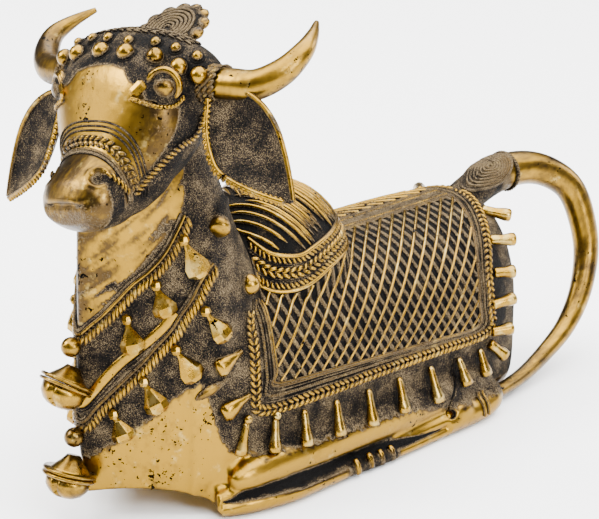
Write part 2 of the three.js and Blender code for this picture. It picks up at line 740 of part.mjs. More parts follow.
const geometry = geometryOf(casting);
geometry.computeBoundingBox();
const { min, max } = geometry.boundingBox;
geometry.translate(-(min.x + max.x) / 2, -(min.y + max.y) / 2, -min.z);
geometry.computeVertexNormals();

const brass = new THREE.MeshStandardMaterial({ color: 0xb08a3e, roughness: 0.34, metalness: 1 });
const bull = new THREE.Mesh(geometry, brass);
bull.name = 'nandi_bull';

const group = new THREE.Group();
group.add(bull);

export default group;
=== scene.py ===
from bisect import bisect
from math import atan2, ceil, cos, degrees, exp, radians, sin, sqrt, tau
from random import Random

import bmesh
import bpy
from mathutils import Matrix, Vector, noise
from mathutils.bvhtree import BVHTree


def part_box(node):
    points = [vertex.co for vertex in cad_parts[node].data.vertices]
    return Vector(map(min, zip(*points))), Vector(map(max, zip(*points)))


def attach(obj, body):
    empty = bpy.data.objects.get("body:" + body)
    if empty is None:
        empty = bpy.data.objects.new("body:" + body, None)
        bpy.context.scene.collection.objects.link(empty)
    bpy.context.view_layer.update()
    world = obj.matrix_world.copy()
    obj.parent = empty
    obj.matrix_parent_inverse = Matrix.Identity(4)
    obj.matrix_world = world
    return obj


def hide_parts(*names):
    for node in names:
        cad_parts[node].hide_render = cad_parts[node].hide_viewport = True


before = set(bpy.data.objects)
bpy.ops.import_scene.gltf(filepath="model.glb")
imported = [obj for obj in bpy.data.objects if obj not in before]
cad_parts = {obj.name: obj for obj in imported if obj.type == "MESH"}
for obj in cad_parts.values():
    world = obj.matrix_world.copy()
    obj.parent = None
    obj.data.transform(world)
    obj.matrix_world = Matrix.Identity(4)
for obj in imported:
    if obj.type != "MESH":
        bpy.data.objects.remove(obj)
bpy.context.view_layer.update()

# The bull's place in the frame. It lies along Y with its face to -Y. Measures on it are given in
# millimetres: from its middle plane, from a line through its shoulders, and from the ground. The
# left ear's tip and the far end of the tail's loop tie them to the solid model.
EAR_TIP_X = 99.36
TAIL_END_Y = 210.23
box_low, box_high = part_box("nandi_bull")
home = Vector((box_high.x - EAR_TIP_X / 1000, box_high.y - TAIL_END_Y / 1000, box_low.z))


def at(x, y, z):
    """A place on the bull, from millimetres to the frame's metres."""
    return home + Vector((x, y, z)) / 1000


def measured(place):
    """The other way: a place in the frame as millimetres on the bull."""
    return (place - home) * 1000


# The studio: a pale floor and soft panels of light round the bull, with a narrow one for its brow.
# The camera stands off its left shoulder, a little above it, with a long lens.
VIEW_AZIMUTH, VIEW_ELEVATION = radians(45), radians(20)
VIEW_DISTANCE, VIEW_LENS = 1.25, 146.5
ROOM_LIGHT, FLOOR_SIZE, FLOOR_DROP = 0.16, 8, 0.0002
aim = at(0, 0, 95)
backwards = Vector((sin(VIEW_AZIMUTH) * cos(VIEW_ELEVATION),
                    -cos(VIEW_AZIMUTH) * cos(VIEW_ELEVATION), sin(VIEW_ELEVATION)))
camera = bpy.data.objects.new("camera", bpy.data.cameras.new("camera"))
camera.location = aim + backwards * VIEW_DISTANCE
camera.rotation_euler = (-backwards).to_track_quat("-Z", "Y").to_euler()
camera.data.lens = VIEW_LENS
camera.data.clip_start = 0.05
bpy.context.scene.collection.objects.link(camera)
bpy.context.scene.camera = camera


def panel(name, place, width, height, power):
    """A soft panel of light that faces the bull."""
    light = bpy.data.lights.new(name, "AREA")
    light.shape = "RECTANGLE"
    light.size, light.size_y = width, height
    light.energy = power
    lamp = bpy.data.objects.new(name, light)
    lamp.location = aim + Vector(place)
    lamp.rotation_euler = Vector(place).to_track_quat("Z", "Y").to_euler()
    bpy.context.scene.collection.objects.link(lamp)


panel("sky_panel", (0.0, 0.4, 2.6), 4.5, 4.5, 640)
panel("front_panel", (-1.0, -1.15, 1.25), 0.9, 0.8, 70)
panel("brow_panel", (-1.05, -1.1, 0.35), 0.16, 0.4, 4)
panel("flank_panel", (1.7, -0.1, 0.65), 0.5, 0.9, 36)
panel("camera_panel", (1.25, -0.75, 1.2), 0.5, 0.4, 14)
panel("rear_panel", (0.5, 1.7, 0.6), 0.8, 0.6, 16)

room = bpy.data.worlds.new("room")
room.use_nodes = True
room.node_tree.nodes["Background"].inputs["Color"].default_value = (1, 1, 1, 1)
room.node_tree.nodes["Background"].inputs["Strength"].default_value = ROOM_LIGHT
bpy.context.scene.world = room

floor_shape = bmesh.new()
bmesh.ops.create_grid(floor_shape, x_segments=1, y_segments=1, size=FLOOR_SIZE)
floor_mesh = bpy.data.meshes.new("floor")
floor_shape.to_mesh(floor_mesh)
floor_shape.free()
floor = bpy.data.objects.new("floor", floor_mesh)
floor_mesh.transform(Matrix.Translation((0, 0, box_low.z - FLOOR_DROP)))
bpy.context.scene.collection.objects.link(floor)
paper = bpy.data.materials.new("pale_paper")
paper.use_nodes = True
paper.node_tree.nodes["Principled BSDF"].inputs["Base Color"].default_value = (0.93, 0.93, 0.93, 1)
paper.node_tree.nodes["Principled BSDF"].inputs["Roughness"].default_value = 0.9
floor_mesh.materials.append(paper)


# The finish: one brass, cast and then rubbed bright by hand. Where it is rubbed it is golden and
# smooth with fine scratches, and where nothing reaches it keeps a dark, grainy patina. How far a
# place is rubbed comes with the mesh, and the grain blurs its edge. The same value also holds
# painted shade in the flank's crack and down the neck's keel, and above 1 a painted highlight.
class Shade:
    """A value on its way through a finish. Sums that are written on it become nodes."""

    def __init__(self, tree, socket=None):
        self.tree, self.socket = tree, socket

    def node(self, kind, settings=None, inputs=None, output=0):
        """Any node: its settings first, then values or links for its sockets."""
        made = self.tree.nodes.new(kind)
        for name, value in (settings or {}).items():
            setattr(made, name, value)
        for name, value in (inputs or {}).items():
            self.feed(made.inputs[name], value)
        return Shade(self.tree, made.outputs[output])

    def feed(self, socket, value):
        if isinstance(value, Shade):
            self.tree.links.new(value.socket, socket)
        else:
            socket.default_value = value

    def maths(self, operation, *values):
        return self.node("ShaderNodeMath", {"operation": operation}, dict(enumerate(values)))

    def __add__(self, other):
        return self.maths("ADD", self, other)

    def __sub__(self, other):
        return self.maths("SUBTRACT", self, other)

    def __rsub__(self, other):
        return self.maths("SUBTRACT", other, self)

    def __mul__(self, other):
        return self.maths("MULTIPLY", self, other)

    def step(self, low, high):
        """0 below low and 1 above high, with a soft change between them."""
        return self.node("ShaderNodeMapRange", {"interpolation_type": "SMOOTHSTEP"},
                         {"Value": self, "From Min": low, "From Max": high})

    def blend(self, low, high):
        """A colour between two, by this share."""
        return self.node("ShaderNodeMix", {"data_type": "RGBA"}, {0: self, 6: low, 7: high}, 2)

    def cloud(self, size, detail=3, rough=0.6, where=None):
        """Noise whose lumps are about this many millimetres wide."""
        place = where or self.node("ShaderNodeTexCoord", output="Object")
        return self.node("ShaderNodeTexNoise", None, {
            "Vector": place, "Scale": 1000 / size, "Detail": detail, "Roughness": rough})


GOLD, DEEP_GOLD = (0.25, 0.138, 0.012, 1), (0.05, 0.03, 0.011, 1)
# The pale gold serves both for pale patches at random and for a painted highlight.
PALE_GOLD_AND_HIGHLIGHT, SPECK = (0.36, 0.25, 0.07, 1), (0.13, 0.093, 0.048, 1)
PATINA, BROWN_PATINA = (0.0012, 0.001, 0.0008, 1), (0.014, 0.0098, 0.0065, 1)
DULL_SHEEN, GRAIN_DEPTH = 0.06, 0.00055


def aged_brass(name, grain, rub_bite, polish):
    """Brass with its patina. The grain is in millimetres, the polish is its least roughness."""
    made = bpy.data.materials.new(name)
    made.use_nodes = True
    shader = made.node_tree.nodes["Principled BSDF"]
    start = Shade(made.node_tree)
    rub_and_painted_light = start.node("ShaderNodeAttribute", {"attribute_name": "rub_and_painted_light"}, output="Fac")
    patches, grit = start.cloud(11, 3, 0.55), start.cloud(grain, 2, 0.65)
    fine = start.cloud(0.45, 1, 0.5)
    # The rub value is mostly wear. Where it holds painted shade (the crack, the neck's keel), the
    # masks below darken the gold and the patina as painted shade, and above 1 it paints a pale
    # highlight.
    worn = (rub_and_painted_light + (patches - 0.5) * rub_bite + (grit - 0.5) * 0.6).step(0.38, 0.62)
    tone = start.cloud(26, 4)
    stretched = start.node("ShaderNodeVectorMath", {"operation": "MULTIPLY"}, {
        0: start.node("ShaderNodeTexCoord", output="Object"), 1: (0.7, 0.14, 0.35)})
    brushed = start.cloud(1.8, where=stretched)
    tarnish_and_shade = (1 - rub_and_painted_light) * 1.8 + (tone - 0.5) * 1.3 + (brushed - 0.5) * 1.0
    gold = tarnish_and_shade.step(0.0, 0.75).blend(GOLD, DEEP_GOLD)
    # Pale gold: random pale patches, and a painted highlight where the rub value goes above 1.
    pale_and_highlight = start.cloud(7) + (start.maths("MAXIMUM", rub_and_painted_light, 1.0) - 1) * 1.2
    gold = pale_and_highlight.step(0.58, 0.8).blend(gold, PALE_GOLD_AND_HIGHLIGHT)
    pits = (start.cloud(2.2, 2) + (tone - 0.5) * 0.7).step(0.69, 0.72)
    gold = pits.blend(gold, PATINA)
    dust_and_shade = (patches - 0.5) * 0.62 + (rub_and_painted_light - 0.2) * 0.8
    dark = (grit + dust_and_shade).step(0.4, 0.62).blend(PATINA, BROWN_PATINA)
    dark = (fine + dust_and_shade).step(0.58, 0.72).blend(dark, SPECK)
    start.feed(shader.inputs["Base Color"], worn.blend(dark, gold))
    start.feed(shader.inputs["Metallic"], worn)
    shader.inputs["Specular IOR Level"].default_value = DULL_SHEEN
    smooth_part = start.cloud(3.5) * 0.16 + polish
    start.feed(shader.inputs["Roughness"], (1 - worn) * (0.6 - polish) + smooth_part)
    lumps = (1 - worn) * (grit + fine * 0.6) + worn * (start.cloud(5, 3, 0.5) * 0.35 + fine * 0.05)
    start.feed(shader.inputs["Normal"], start.node("ShaderNodeBump", None, {
        "Strength": 1.0, "Distance": GRAIN_DEPTH, "Height": lumps}))
    return made


skin_brass = aged_brass("skin_brass", 1.1, 0.5, 0.24)
thread_brass = aged_brass("thread_brass", 0.8, 0.35, 0.2)


# The body: trunk, neck, hump, the swelling of the flanks and the folded legs, modelled in wax
# over a clay core and smoothed over as one skin. The neck comes down to the ground as a wedge.
# Stations of the trunk: share of the length, height, half width, squareness. Stations of the neck:
# height, how far front and back are drawn in, half width, squareness in front and behind.
CHEST_Y, RUMP_Y, BACK_Z, TRUNK_HALF, BELLY_Z = -112, 136, 110, 54, 50
TRUNK = [
    [0, 0.86, 0.74, 2.8], [0.1, 0.95, 0.9, 2.8], [0.3, 0.96, 1, 2.7], [0.53, 0.965, 1, 2.5],
    [0.76, 0.96, 0.98, 2.4], [0.9, 0.955, 0.88, 2.2], [0.96, 0.93, 0.7, 2.2], [1, 0.84, 0.32, 2]]
NECK_TOP, NECK_FRONT_Y, NECK_Y, NECK_BACK_Y, NECK_HALF = 186, -150, -97, -40, 46
NECK = [
    [-0.04, 0.06, 0, 0.95, 1.15, 2], [0.03, 0.04, 0, 1, 1.15, 2], [0.27, 0.01, 0, 1, 1.2, 2],
    [0.54, 0.02, 0.05, 0.95, 1.15, 2.2], [0.75, 0.03, 0.2, 0.8, 1.2, 2.2],
    [0.88, 0.07, 0.28, 0.68, 1.6, 2.2], [1, 0.15, 0.36, 0.56, 2, 2.2]]
HUMP_Y, HUMP_LONG, HUMP_HALF, HUMP_TOP, HUMP_FOOT, HUMP_SWELL = -27, 45, 42, 143, 88, 2.4
BULGE = [[-98, 0.3], [-84, 0.8], [-40, 1], [0, 1.02], [40, 1], [76, 0.8], [92, 0.3]]
BULGE_X, BULGE_Z, BULGE_HALF, BULGE_RISE = 51.5, 19, 9.5, 11
FORELEG = [(44, -102, 7), (52, -88, 7), (58, -66, 6.5), (59, -44, 5.8), (60, -24, 5)]
HINDLEG = [(48, 80, 15), (53, 89, 10), (57, 78, 7), (59, 40, 6), (60, 0, 5), (59, -24, 4.5)]
HOCK = [(59, 49, 10), (60.5, 55, 11), (60.5, 63, 11.5), (58, 70, 12)]
LEGS = ((FORELEG, [7.6, 7.4, 6.6, 5.6, 4.2]), (HINDLEG, [7, 8.4, 7.6, 6, 5, 4.2]),
        (HOCK, [1.5, 3.6, 3.8, 2.0]))
KNUCKLE, KNUCKLE_RADII, KNUCKLE_STEPS = [(57, -17, 6.5), (62, -18, 4)], [4.2, 4.4], 4
KNUCKLE_STEP, BODY_CORNERS, BULGE_CORNERS = 10.5, 64, 24
BODY_FINENESS, BODY_SOFTENING = 1.45, 6


def through(a, b, c, d, t):
    """A place between b and c on a smooth run through four lists of numbers."""
    return [0.5 * (2 * q + (r - p) * t + (2 * p - 5 * q + 4 * r - s) * t ** 2
                   + (3 * q - p - 3 * r + s) * t ** 3) for p, q, r, s in zip(a, b, c, d)]


def four_round(run, i):
    """Places i and i + 1 of a run, with their neighbours on both sides."""
    return [run[min(max(i + k, 0), len(run) - 1)] for k in (-1, 0, 1, 2)]


def eased(stations, steps):
    """The stations with smooth ones in between."""
    run = []
    for i in range(len(stations) - 1):
        run += [through(*four_round(stations, i), k / steps) for k in range(steps)]
    return run + [list(stations[-1])]


def oval(centre, side, up, half, above, corners, below=None, power=2, foot_power=None):
    """Corners of a rounded ring, perhaps of another size and squareness below its middle."""
    ring = []
    below = above if below is None else below
    for j in range(corners):
        c, s = cos(tau * j / corners), sin(tau * j / corners)
        squareness = 2 / (power if s >= 0 else foot_power or power)
        across = (abs(c) ** squareness) * (1 if c >= 0 else -1)
        rise = (abs(s) ** squareness) * (above if s >= 0 else -below)
        ring.append(centre + side * (across * half) + up * rise)
    return ring


def rolled(shape, rings):
    """A closed skin through rings of corners: a grid rolled up, with filled ends."""
    rows, corners = len(rings) - 1, len(rings[0])
    sheet = bmesh.ops.create_grid(shape, x_segments=corners, y_segments=rows, size=1)["verts"]
    for vert in sheet:
        j, i = round((vert.co.x + 1) / 2 * corners), round((vert.co.y + 1) / 2 * rows)
        vert.co = rings[i][j % corners]
    bmesh.ops.remove_doubles(shape, verts=sheet, dist=1e-7)
    bmesh.ops.holes_fill(shape, edges=[edge for edge in shape.edges if edge.is_boundary])


def heading(line, i):
    """Which way a line of places runs at one of them."""
    return line[min(i + 1, len(line) - 1)] - line[max(i - 1, 0)]


def limb(shape, line, radii, corners=20, steps=4):
    """A round limb along a line of places, its radius in millimetres running through the list."""
    spots = [Vector(spot) for spot in eased(line, steps)]
    widths = eased([[radius] for radius in radii], 4)
    rings, across = [], None
    for i, spot in enumerate(spots):
        along = heading(spots, i).normalized()
        if across is None:
            across = along.cross(UP) if abs(along.z) < 0.9 else RIGHT
        across = (across - along * across.dot(along)).normalized()
        place = i / (len(spots) - 1) * (len(widths) - 1)
        k = min(int(place), len(widths) - 2)
        radius = (widths[k][0] + (widths[k + 1][0] - widths[k][0]) * (place - k)) / 1000
        rings.append(oval(spot, across, along.cross(across), radius, radius, corners))
    rolled(shape, rings)


def meshed(name, shape):
    """A mesh of a shape, its faces turned outwards."""
    bmesh.ops.recalc_face_normals(shape, faces=shape.faces)
    mesh = bpy.data.meshes.new(name)
    shape.to_mesh(mesh)
    shape.free()
    return mesh


def settled(name, shape, modifiers=()):
    """An object of a shape, with these modifiers worked into its mesh."""
    piece = bpy.data.objects.new(name, meshed(name, shape))
    bpy.context.scene.collection.objects.link(piece)
    for kind, settings in modifiers:
        modifier = piece.modifiers.new(kind.lower(), kind)
        for setting, value in settings.items():
            setattr(modifier, setting, value)
    if modifiers:
        graph = bpy.context.evaluated_depsgraph_get()
        piece.data = bpy.data.meshes.new_from_object(piece.evaluated_get(graph))
        piece.modifiers.clear()
        piece.data.name = name
    return piece


def one_skin(name, shape, fineness, softening):
    """One soft skin over all that a shape holds, as wax is smoothed over."""
    return settled(name, shape, [
        ("REMESH", {"mode": "VOXEL", "voxel_size": fineness / 1000}),
        ("SMOOTH", {"factor": 0.5, "iterations": softening})])


def tree_of(*pieces):
    """A search tree of the skins of some pieces."""
    shape = bmesh.new()
    for piece in pieces:
        shape.from_mesh(piece.data)
    tree = BVHTree.FromBMesh(shape)
    shape.free()
    return tree


def finished(piece, finish, rub, smooth=True):
    """Gives a piece its finish and how far each of its places is worn bright, a value that for some
    pieces also holds painted shade, and for others a painted highlight.
    """
    mesh = piece.data
    rub_and_painted_light = mesh.attributes.new("rub_and_painted_light", "FLOAT", "POINT")
    rub_and_painted_light.data.foreach_set("value", [rub(vert.co, vert.normal) for vert in mesh.vertices])
    mesh.materials.clear()
    mesh.materials.append(finish)
    mesh.polygons.foreach_set("use_smooth", [smooth] * len(mesh.polygons))
    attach(piece, "root")


RIGHT, BACK, UP = Vector((1, 0, 0)), Vector((0, 1, 0)), Vector((0, 0, 1))
SIDES = (1, -1)


def on_side(side, spots, placed=at):
    """Places for one side, on the body or by another rule."""
    return [placed(side * x, y, z) for x, y, z in spots]


body_shape = bmesh.new()
rings = []
for share, height, width, power in eased(TRUNK, 5):
    centre = at(0, CHEST_Y + (RUMP_Y - CHEST_Y) * share, BELLY_Z)
    rings.append(oval(centre, RIGHT, UP, width * TRUNK_HALF / 1000,
                      (height * BACK_Z - BELLY_Z) / 1000, BODY_CORNERS, BELLY_Z / 1000, power, 6))
rolled(body_shape, rings)
rings = []
neck_depth = NECK_BACK_Y - NECK_FRONT_Y
for height, front, back, width, keel, nape in eased(NECK, 5):
    centre = at(0, NECK_Y, max(height * NECK_TOP, 0))
    behind = NECK_BACK_Y - back * neck_depth - NECK_Y
    ahead = NECK_Y - NECK_FRONT_Y - front * neck_depth
    rings.append(oval(centre, RIGHT, BACK, width * NECK_HALF / 1000, behind / 1000, BODY_CORNERS,
                      ahead / 1000, nape, keel))
rolled(body_shape, rings[1:])
rings = []
for k in range(13):
    share = sin(tau / 4 * k / 12)
    swell = sqrt(max(1 - share ** HUMP_SWELL, 0.0004))
    centre = at(0, HUMP_Y + 2 * share, HUMP_FOOT + (HUMP_TOP - HUMP_FOOT) * share)
    rings.append(oval(centre, RIGHT, BACK, HUMP_HALF * swell / 1000, HUMP_LONG * swell / 1000,
                      BODY_CORNERS, power=2.1))
rolled(body_shape, rings)
for side in SIDES:
    rings = []
    for y, share in eased(BULGE, 5):
        rings.append(oval(at(side * BULGE_X, y, BULGE_Z), RIGHT, UP, BULGE_HALF * share / 1000,
                          BULGE_RISE * share / 1000, BULGE_CORNERS))
    rolled(body_shape, rings)
    for line, radii in LEGS:
        limb(body_shape, on_side(side, line), radii)
    for k in range(KNUCKLE_STEPS):
        line = [(x, y + KNUCKLE_STEP * k, z) for x, y, z in KNUCKLE]
        limb(body_shape, on_side(side, line), KNUCKLE_RADII)
for vert in body_shape.verts:
    vert.co.z = max(vert.co.z, box_low.z)
body = one_skin("bull_body", body_shape, BODY_FINENESS, BODY_SOFTENING)


def from_table(table, key):
    """The value for a key, straight between the rows of a table of two columns."""
    for (a, low), (b, high) in zip(table, table[1:]):
        if key <= b:
            return low + (high - low) * max(0, (key - a) / (b - a))
    return table[-1][1]


# Flaws and hollows of the casting: a crack with a hole at its foot in the left flank, a deep groove
# between each flank's swelling and the leg, and a low arch under each side of the chest.
CRACK = [Vector(spot) for spot in (
    (53.8, 61, 37), (54.2, 59, 32), (54.6, 60, 28.5), (58, 56.5, 25), (59.6, 53, 21),
    (60.8, 51.5, 18), (60.3, 50.3, 15), (61.3, 50.4, 12.1))]
CRACK_Y, CRACK_WIDE, CRACK_DEEP, HOLE_WIDE, HOLE_DEEP = 55, 0.8, 2.6, 2.3, 4.2
GROOVE = [
    (-104, 8.5), (-98, 9.6), (-93, 11.2), (-80, 11.8), (-62, 11.3), (-44, 10.5), (-22, 9.8),
    (-6, 9.4), (10, 8.1), (29, 7), (46, 6.5)]
GROOVE_HALF = [(-104, 0), (-95, 2.4), (-60, 3.6), (-20, 2.8), (15, 2.0), (46, 0)]
GROOVE_WIDE, GROOVE_DEEP = 2.4, 2.6
ARCH_X, ARCH_Y, ARCH_TURN, ARCH_HALF, ARCH_HIGH, ARCH_LONG = 18, -130, 48, 42, 16, 30


def arch_over(x, y):
    """The height of the arches over a place on the ground."""
    height = 0
    for side in SIDES:
        turn = radians(side * ARCH_TURN)
        ahead, beyond = x - side * ARCH_X, y - ARCH_Y
        along = ahead * cos(turn) + beyond * sin(turn)
        across = beyond * cos(turn) - ahead * sin(turn)
        if abs(along) < ARCH_HALF and abs(across) < ARCH_LONG:
            height = max(height, ARCH_HIGH * sqrt(1 - (along / ARCH_HALF) ** 2))
    return height


def nearest_on(line, place):
    """How far a place is from a line of places."""
    best = 1e9
    for a, b in zip(line, line[1:]):
        share = max(0, min(1, (place - a).dot(b - a) / (b - a).length_squared))
        best = min(best, (place - a - (b - a) * share).length)
    return best


def by_groove(x, y):
    """Whether a place lies in the stretch of the flank that has the groove."""
    return abs(x) > 50 and GROOVE[0][0] < y < GROOVE[-1][0]


flaw_shape = bmesh.new()
flaw_shape.from_mesh(body.data)
for reach, cuts in ((5, 1), (3, 2)):
    near = []
    for edge in flaw_shape.edges:
        place = measured(edge.verts[0].co)
        if abs(place.y - CRACK_Y) < 14 and nearest_on(CRACK, place) < reach:
            near.append(edge)
    bmesh.ops.subdivide_edges(flaw_shape, edges=near, cuts=cuts, use_grid_fill=True)
bmesh.ops.triangulate(flaw_shape, faces=[face for face in flaw_shape.faces if len(face.verts) > 4])
flaw_shape.normal_update()
pushed = []
for vert in flaw_shape.verts:
    place = measured(vert.co)
    push = 0
    if abs(place.y - CRACK_Y) < 12 and place.x > 0:
        push = CRACK_DEEP * exp(-(nearest_on(CRACK, place) / CRACK_WIDE) ** 2)
        push = max(push, HOLE_DEEP * exp(-((place - CRACK[-1]).length / HOLE_WIDE) ** 4))
    if by_groove(place.x, place.y):
        away = (place.z - from_table(GROOVE, place.y)) / GROOVE_WIDE
        push = max(push, GROOVE_DEEP * exp(-away ** 2))
    if push:
        pushed.append((vert, vert.normal * (push / 1000)))
for vert, push in pushed:
    vert.co -= push
for vert in flaw_shape.verts:
    x, y, z = measured(vert.co)
    vert.co.z = max(vert.co.z, box_low.z + arch_over(x, y) / 1000)
flaw_shape.to_mesh(body.data)
flaw_shape.free()
body_tree = tree_of(body)


# The height where the flanks turn from rubbed gold below to patina above, by the place along the
# body, and where the neck turns gold again above the upper garland, by the angle round it.
GOLD_LINE = [
    (-150, 30), (-143, 36), (-133, 46.9), (-122.9, 57.2), (-115.6, 64.6), (-108.5, 70.2),
    (-105.5, 68), (-103.6, 59.8), (-101.4, 49.5), (-98, 38), (-93, 32), (-85, 29), (-55, 26.5),
    (-32, 25.5), (-9, 24), (14.5, 23.5), (25, 22), (40, 17.5), (56, 15), (140, 10)]
NECK_GOLD = [
    (0, 97), (7, 103), (14, 109), (22, 118), (32, 127), (43, 135), (55, 143), (68, 152), (74, 163),
    (80, 190)]
CLOTH_FRONT_Y, CLOTH_REAR_Y, CLOTH_FOOT_Z = -62, 108, 46


def body_rub_and_shade(place, normal):
    x, y, z = measured(place)
    under_cloth = CLOTH_FRONT_Y <= y <= CLOTH_REAR_Y and z >= CLOTH_FOOT_Z
    rub = 0.04 if under_cloth else 0.25
    ragged = noise.noise(Vector((x, y, z)) * 0.45) * 3
    rub = max(rub, 1 - max(0, z - from_table(GOLD_LINE, y) + 2.5 + ragged) / 5)
    around = degrees(atan2(abs(x), NECK_Y - y))
    if around < 90:
        across, along = (around * 0.6 - z) * 0.36, (around * 0.6 + z) * 0.05
        strokes = noise.noise(Vector((across, along, x * 0.02)))
        edge = z - from_table(NECK_GOLD, around) - 24 * max(0, strokes - 0.02)
        # The neck's gold carries darker brushed streaks, and a painted shade band down the keel at
        # its front.
        shine_with_shade = 0.9 - 0.5 * max(0, strokes + 0.02) - 0.2 * exp(-(around / 5) ** 2)
        rub = max(rub, min(shine_with_shade, edge / 4 + 0.5))
    if by_groove(x, y):
        half = max(from_table(GROOVE_HALF, y), 0.05)
        rub = min(rub, 1.3 * abs(z - from_table(GROOVE, y)) / half - 0.8)
        if z < 12:
            rub = min(rub, 0.15 + max(0, abs(y + 10) - 16) / 5)
    # Painted shade: the crack and the hole at its foot are painted black along their line, besides
    # being pushed into the skin.
    if abs(y - CRACK_Y) < 10 and x > 0:
        place = Vector((x, y, z))
        rub = min(rub, nearest_on(CRACK, place) - 0.8, (place - CRACK[-1]).length - 2.5)
    return max(-0.7, min(rub, 1.0))


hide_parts("nandi_bull")
finished(body, skin_brass, body_rub_and_shade)


# The tail: a thick tapering rod that swings out behind in a loop and comes down to the ground by
# the left hock. Its root sits under a cap of coiled wire with a rope ring behind it.
TAIL = [
    (0, 116, 94), (0, 140, 103), (0, 161, 106), (4, 178, 105), (10, 190, 100), (16, 199, 91),
    (22, 202, 77), (28, 201, 57), (34, 190, 37), (38, 173, 21.5), (42, 150, 12.5), (47, 124, 7.5),
    (51, 98, 6.5), (54, 78, 7)]
TAIL_RADII = [10, 10, 9.9, 9.2, 8.6, 8.2, 7.8, 7.2, 6.4, 5.6, 4.8, 4.2, 3.8, 3.6]
tail_shape = bmesh.new()
limb(tail_shape, [at(*spot) for spot in TAIL], TAIL_RADII, 28, 6)
tail = settled("tail", tail_shape)


def tail_rub(place, normal):
    x, y, z = measured(place)
    root = max(0, min(1, (158 - y) / 10)) if z > 80 else 0
    return 0.8 - 0.15 * max(0, -normal.z) - 0.55 * root


finished(tail, skin_brass, tail_rub)


# The head: a long wedge of a face with a flat brow, a broad poll that carries the horns, and a
# round muzzle. It nods a little to the left, and the horns slant a little more than the head.
# Stations: the face's place and height, the jaw's place and height, half width, squareness.
HEAD_AT, HEAD_YAW, HEAD_ROLL, HORN_SLANT = (0, -110, 190), 5, 11.5, 4.7
HEAD = [
    [26, 24, 28, 2, 18, 2], [17, 36, 18, -16, 34, 2.3], [3, 39, 6, -26, 38, 2.6],
    [-10, 36, -3, -31, 37, 2.7], [-18, 27, -8, -35, 35, 2.8], [-24, 14, -12, -37, 31, 2.8],
    [-29, 3, -16, -39, 26, 2.6], [-33, -3, -21, -40, 21.5, 2.3], [-38, -6, -28, -41.5, 21.5, 2.2],
    [-44, -10, -36, -41, 21.2, 2.2], [-50, -15, -44, -40, 19, 2.2], [-54, -22, -51, -35, 13.5, 2]]
POLL_AT, POLL = (0, 10, 23), (0.05, 0.019, 0.021)
EYE_AT, EYE_RADIUS = (33, -7.5, 20.3), 6.0
NOSTRIL_AT, NOSTRIL_WIDE, NOSTRIL_DEEP = (14.5, -42, -15), 3.5, 4.6
MOUTH = [
    (-20, -38, -22.6), (-17.5, -45.6, -24), (-11, -52, -25), (0, -54, -25.5), (11.5, -52, -25.3),
    (17.5, -45.6, -24.1), (20, -37.7, -22.6)]
MOUTH_WIDE, MOUTH_DEEP, NOSTRIL_RIM, NOSTRIL_RISE = 1.4, 1.6, 1.6, 0.9
HEAD_FINENESS, HEAD_SOFTENING, HEAD_CORNERS = 0.85, 5, 56
head_frame = (Matrix.Translation(at(*HEAD_AT)) @ Matrix.Rotation(radians(HEAD_YAW), 4, "Z")
              @ Matrix.Rotation(-radians(HEAD_ROLL), 4, "Y") @ Matrix.Scale(0.001, 4))
horn_frame = head_frame @ Matrix.Rotation(radians(HORN_SLANT), 4, "Y")
head_turn, horn_turn = head_frame.to_3x3(), horn_frame.to_3x3()


def on_head(x, y, z):
    """A place on the head, from millimetres in its own nodding frame."""
    return head_frame @ Vector((x, y, z))


def on_horns(x, y, z):
    """The same in the frame of the horns."""
    return horn_frame @ Vector((x, y, z))


def wax_ball(shape, centre, radius, scale=(1, 1, 1), turn=Matrix(), fine=16):
    """A ball of wax, perhaps drawn out along its own axes."""
    sized = Matrix.Diagonal(Vector(scale) * (radius / 1000)).to_4x4()
    bmesh.ops.create_uvsphere(shape, u_segments=fine, v_segments=fine // 2, radius=1,
                              matrix=Matrix.Translation(centre) @ turn @ sized)


head_shape = bmesh.new()
rings = []
across = (head_turn @ RIGHT).normalized()
for face_y, face_z, jaw_y, jaw_z, half, power in eased(HEAD, 5):
    face, jaw = on_head(0, face_y, face_z), on_head(0, jaw_y, jaw_z)
    rise = (face - jaw).length / 2
    rings.append(oval((face + jaw) / 2, across, (face - jaw).normalized(), half / 1000, rise,
                      HEAD_CORNERS, rise, power, 2.2))
rolled(head_shape, rings)
wax_ball(head_shape, on_horns(*POLL_AT), 1000, POLL, horn_turn.normalized().to_4x4(), 40)
for side in SIDES:
    x, y, z = EYE_AT
    wax_ball(head_shape, on_head(side * x, y + 1.5, z), EYE_RADIUS + 2.4, (0.8, 1, 1.05))
head = one_skin("bull_head", head_shape, HEAD_FINENESS, HEAD_SOFTENING)
mouth_line = [Vector(spot) for spot in MOUTH]
to_head = head_frame.inverted()
outwards = [vert.normal.copy() for vert in head.data.vertices]
for vert, outward in zip(head.data.vertices, outwards):
    place = to_head @ vert.co
    push = 0
    if place.y < -28:
        push -= MOUTH_DEEP * exp(-(nearest_on(mouth_line, place) / MOUTH_WIDE) ** 2)
        for side in SIDES:
            away = (place - Vector((side * NOSTRIL_AT[0], NOSTRIL_AT[1], NOSTRIL_AT[2]))).length
            push += NOSTRIL_RISE * exp(-((away - NOSTRIL_WIDE - NOSTRIL_RIM) / 1.1) ** 2)
            push -= NOSTRIL_DEEP * exp(-(away / NOSTRIL_WIDE) ** 2)
    if push:
        vert.co += outward * (push / 1000)
head_tree = tree_of(head)

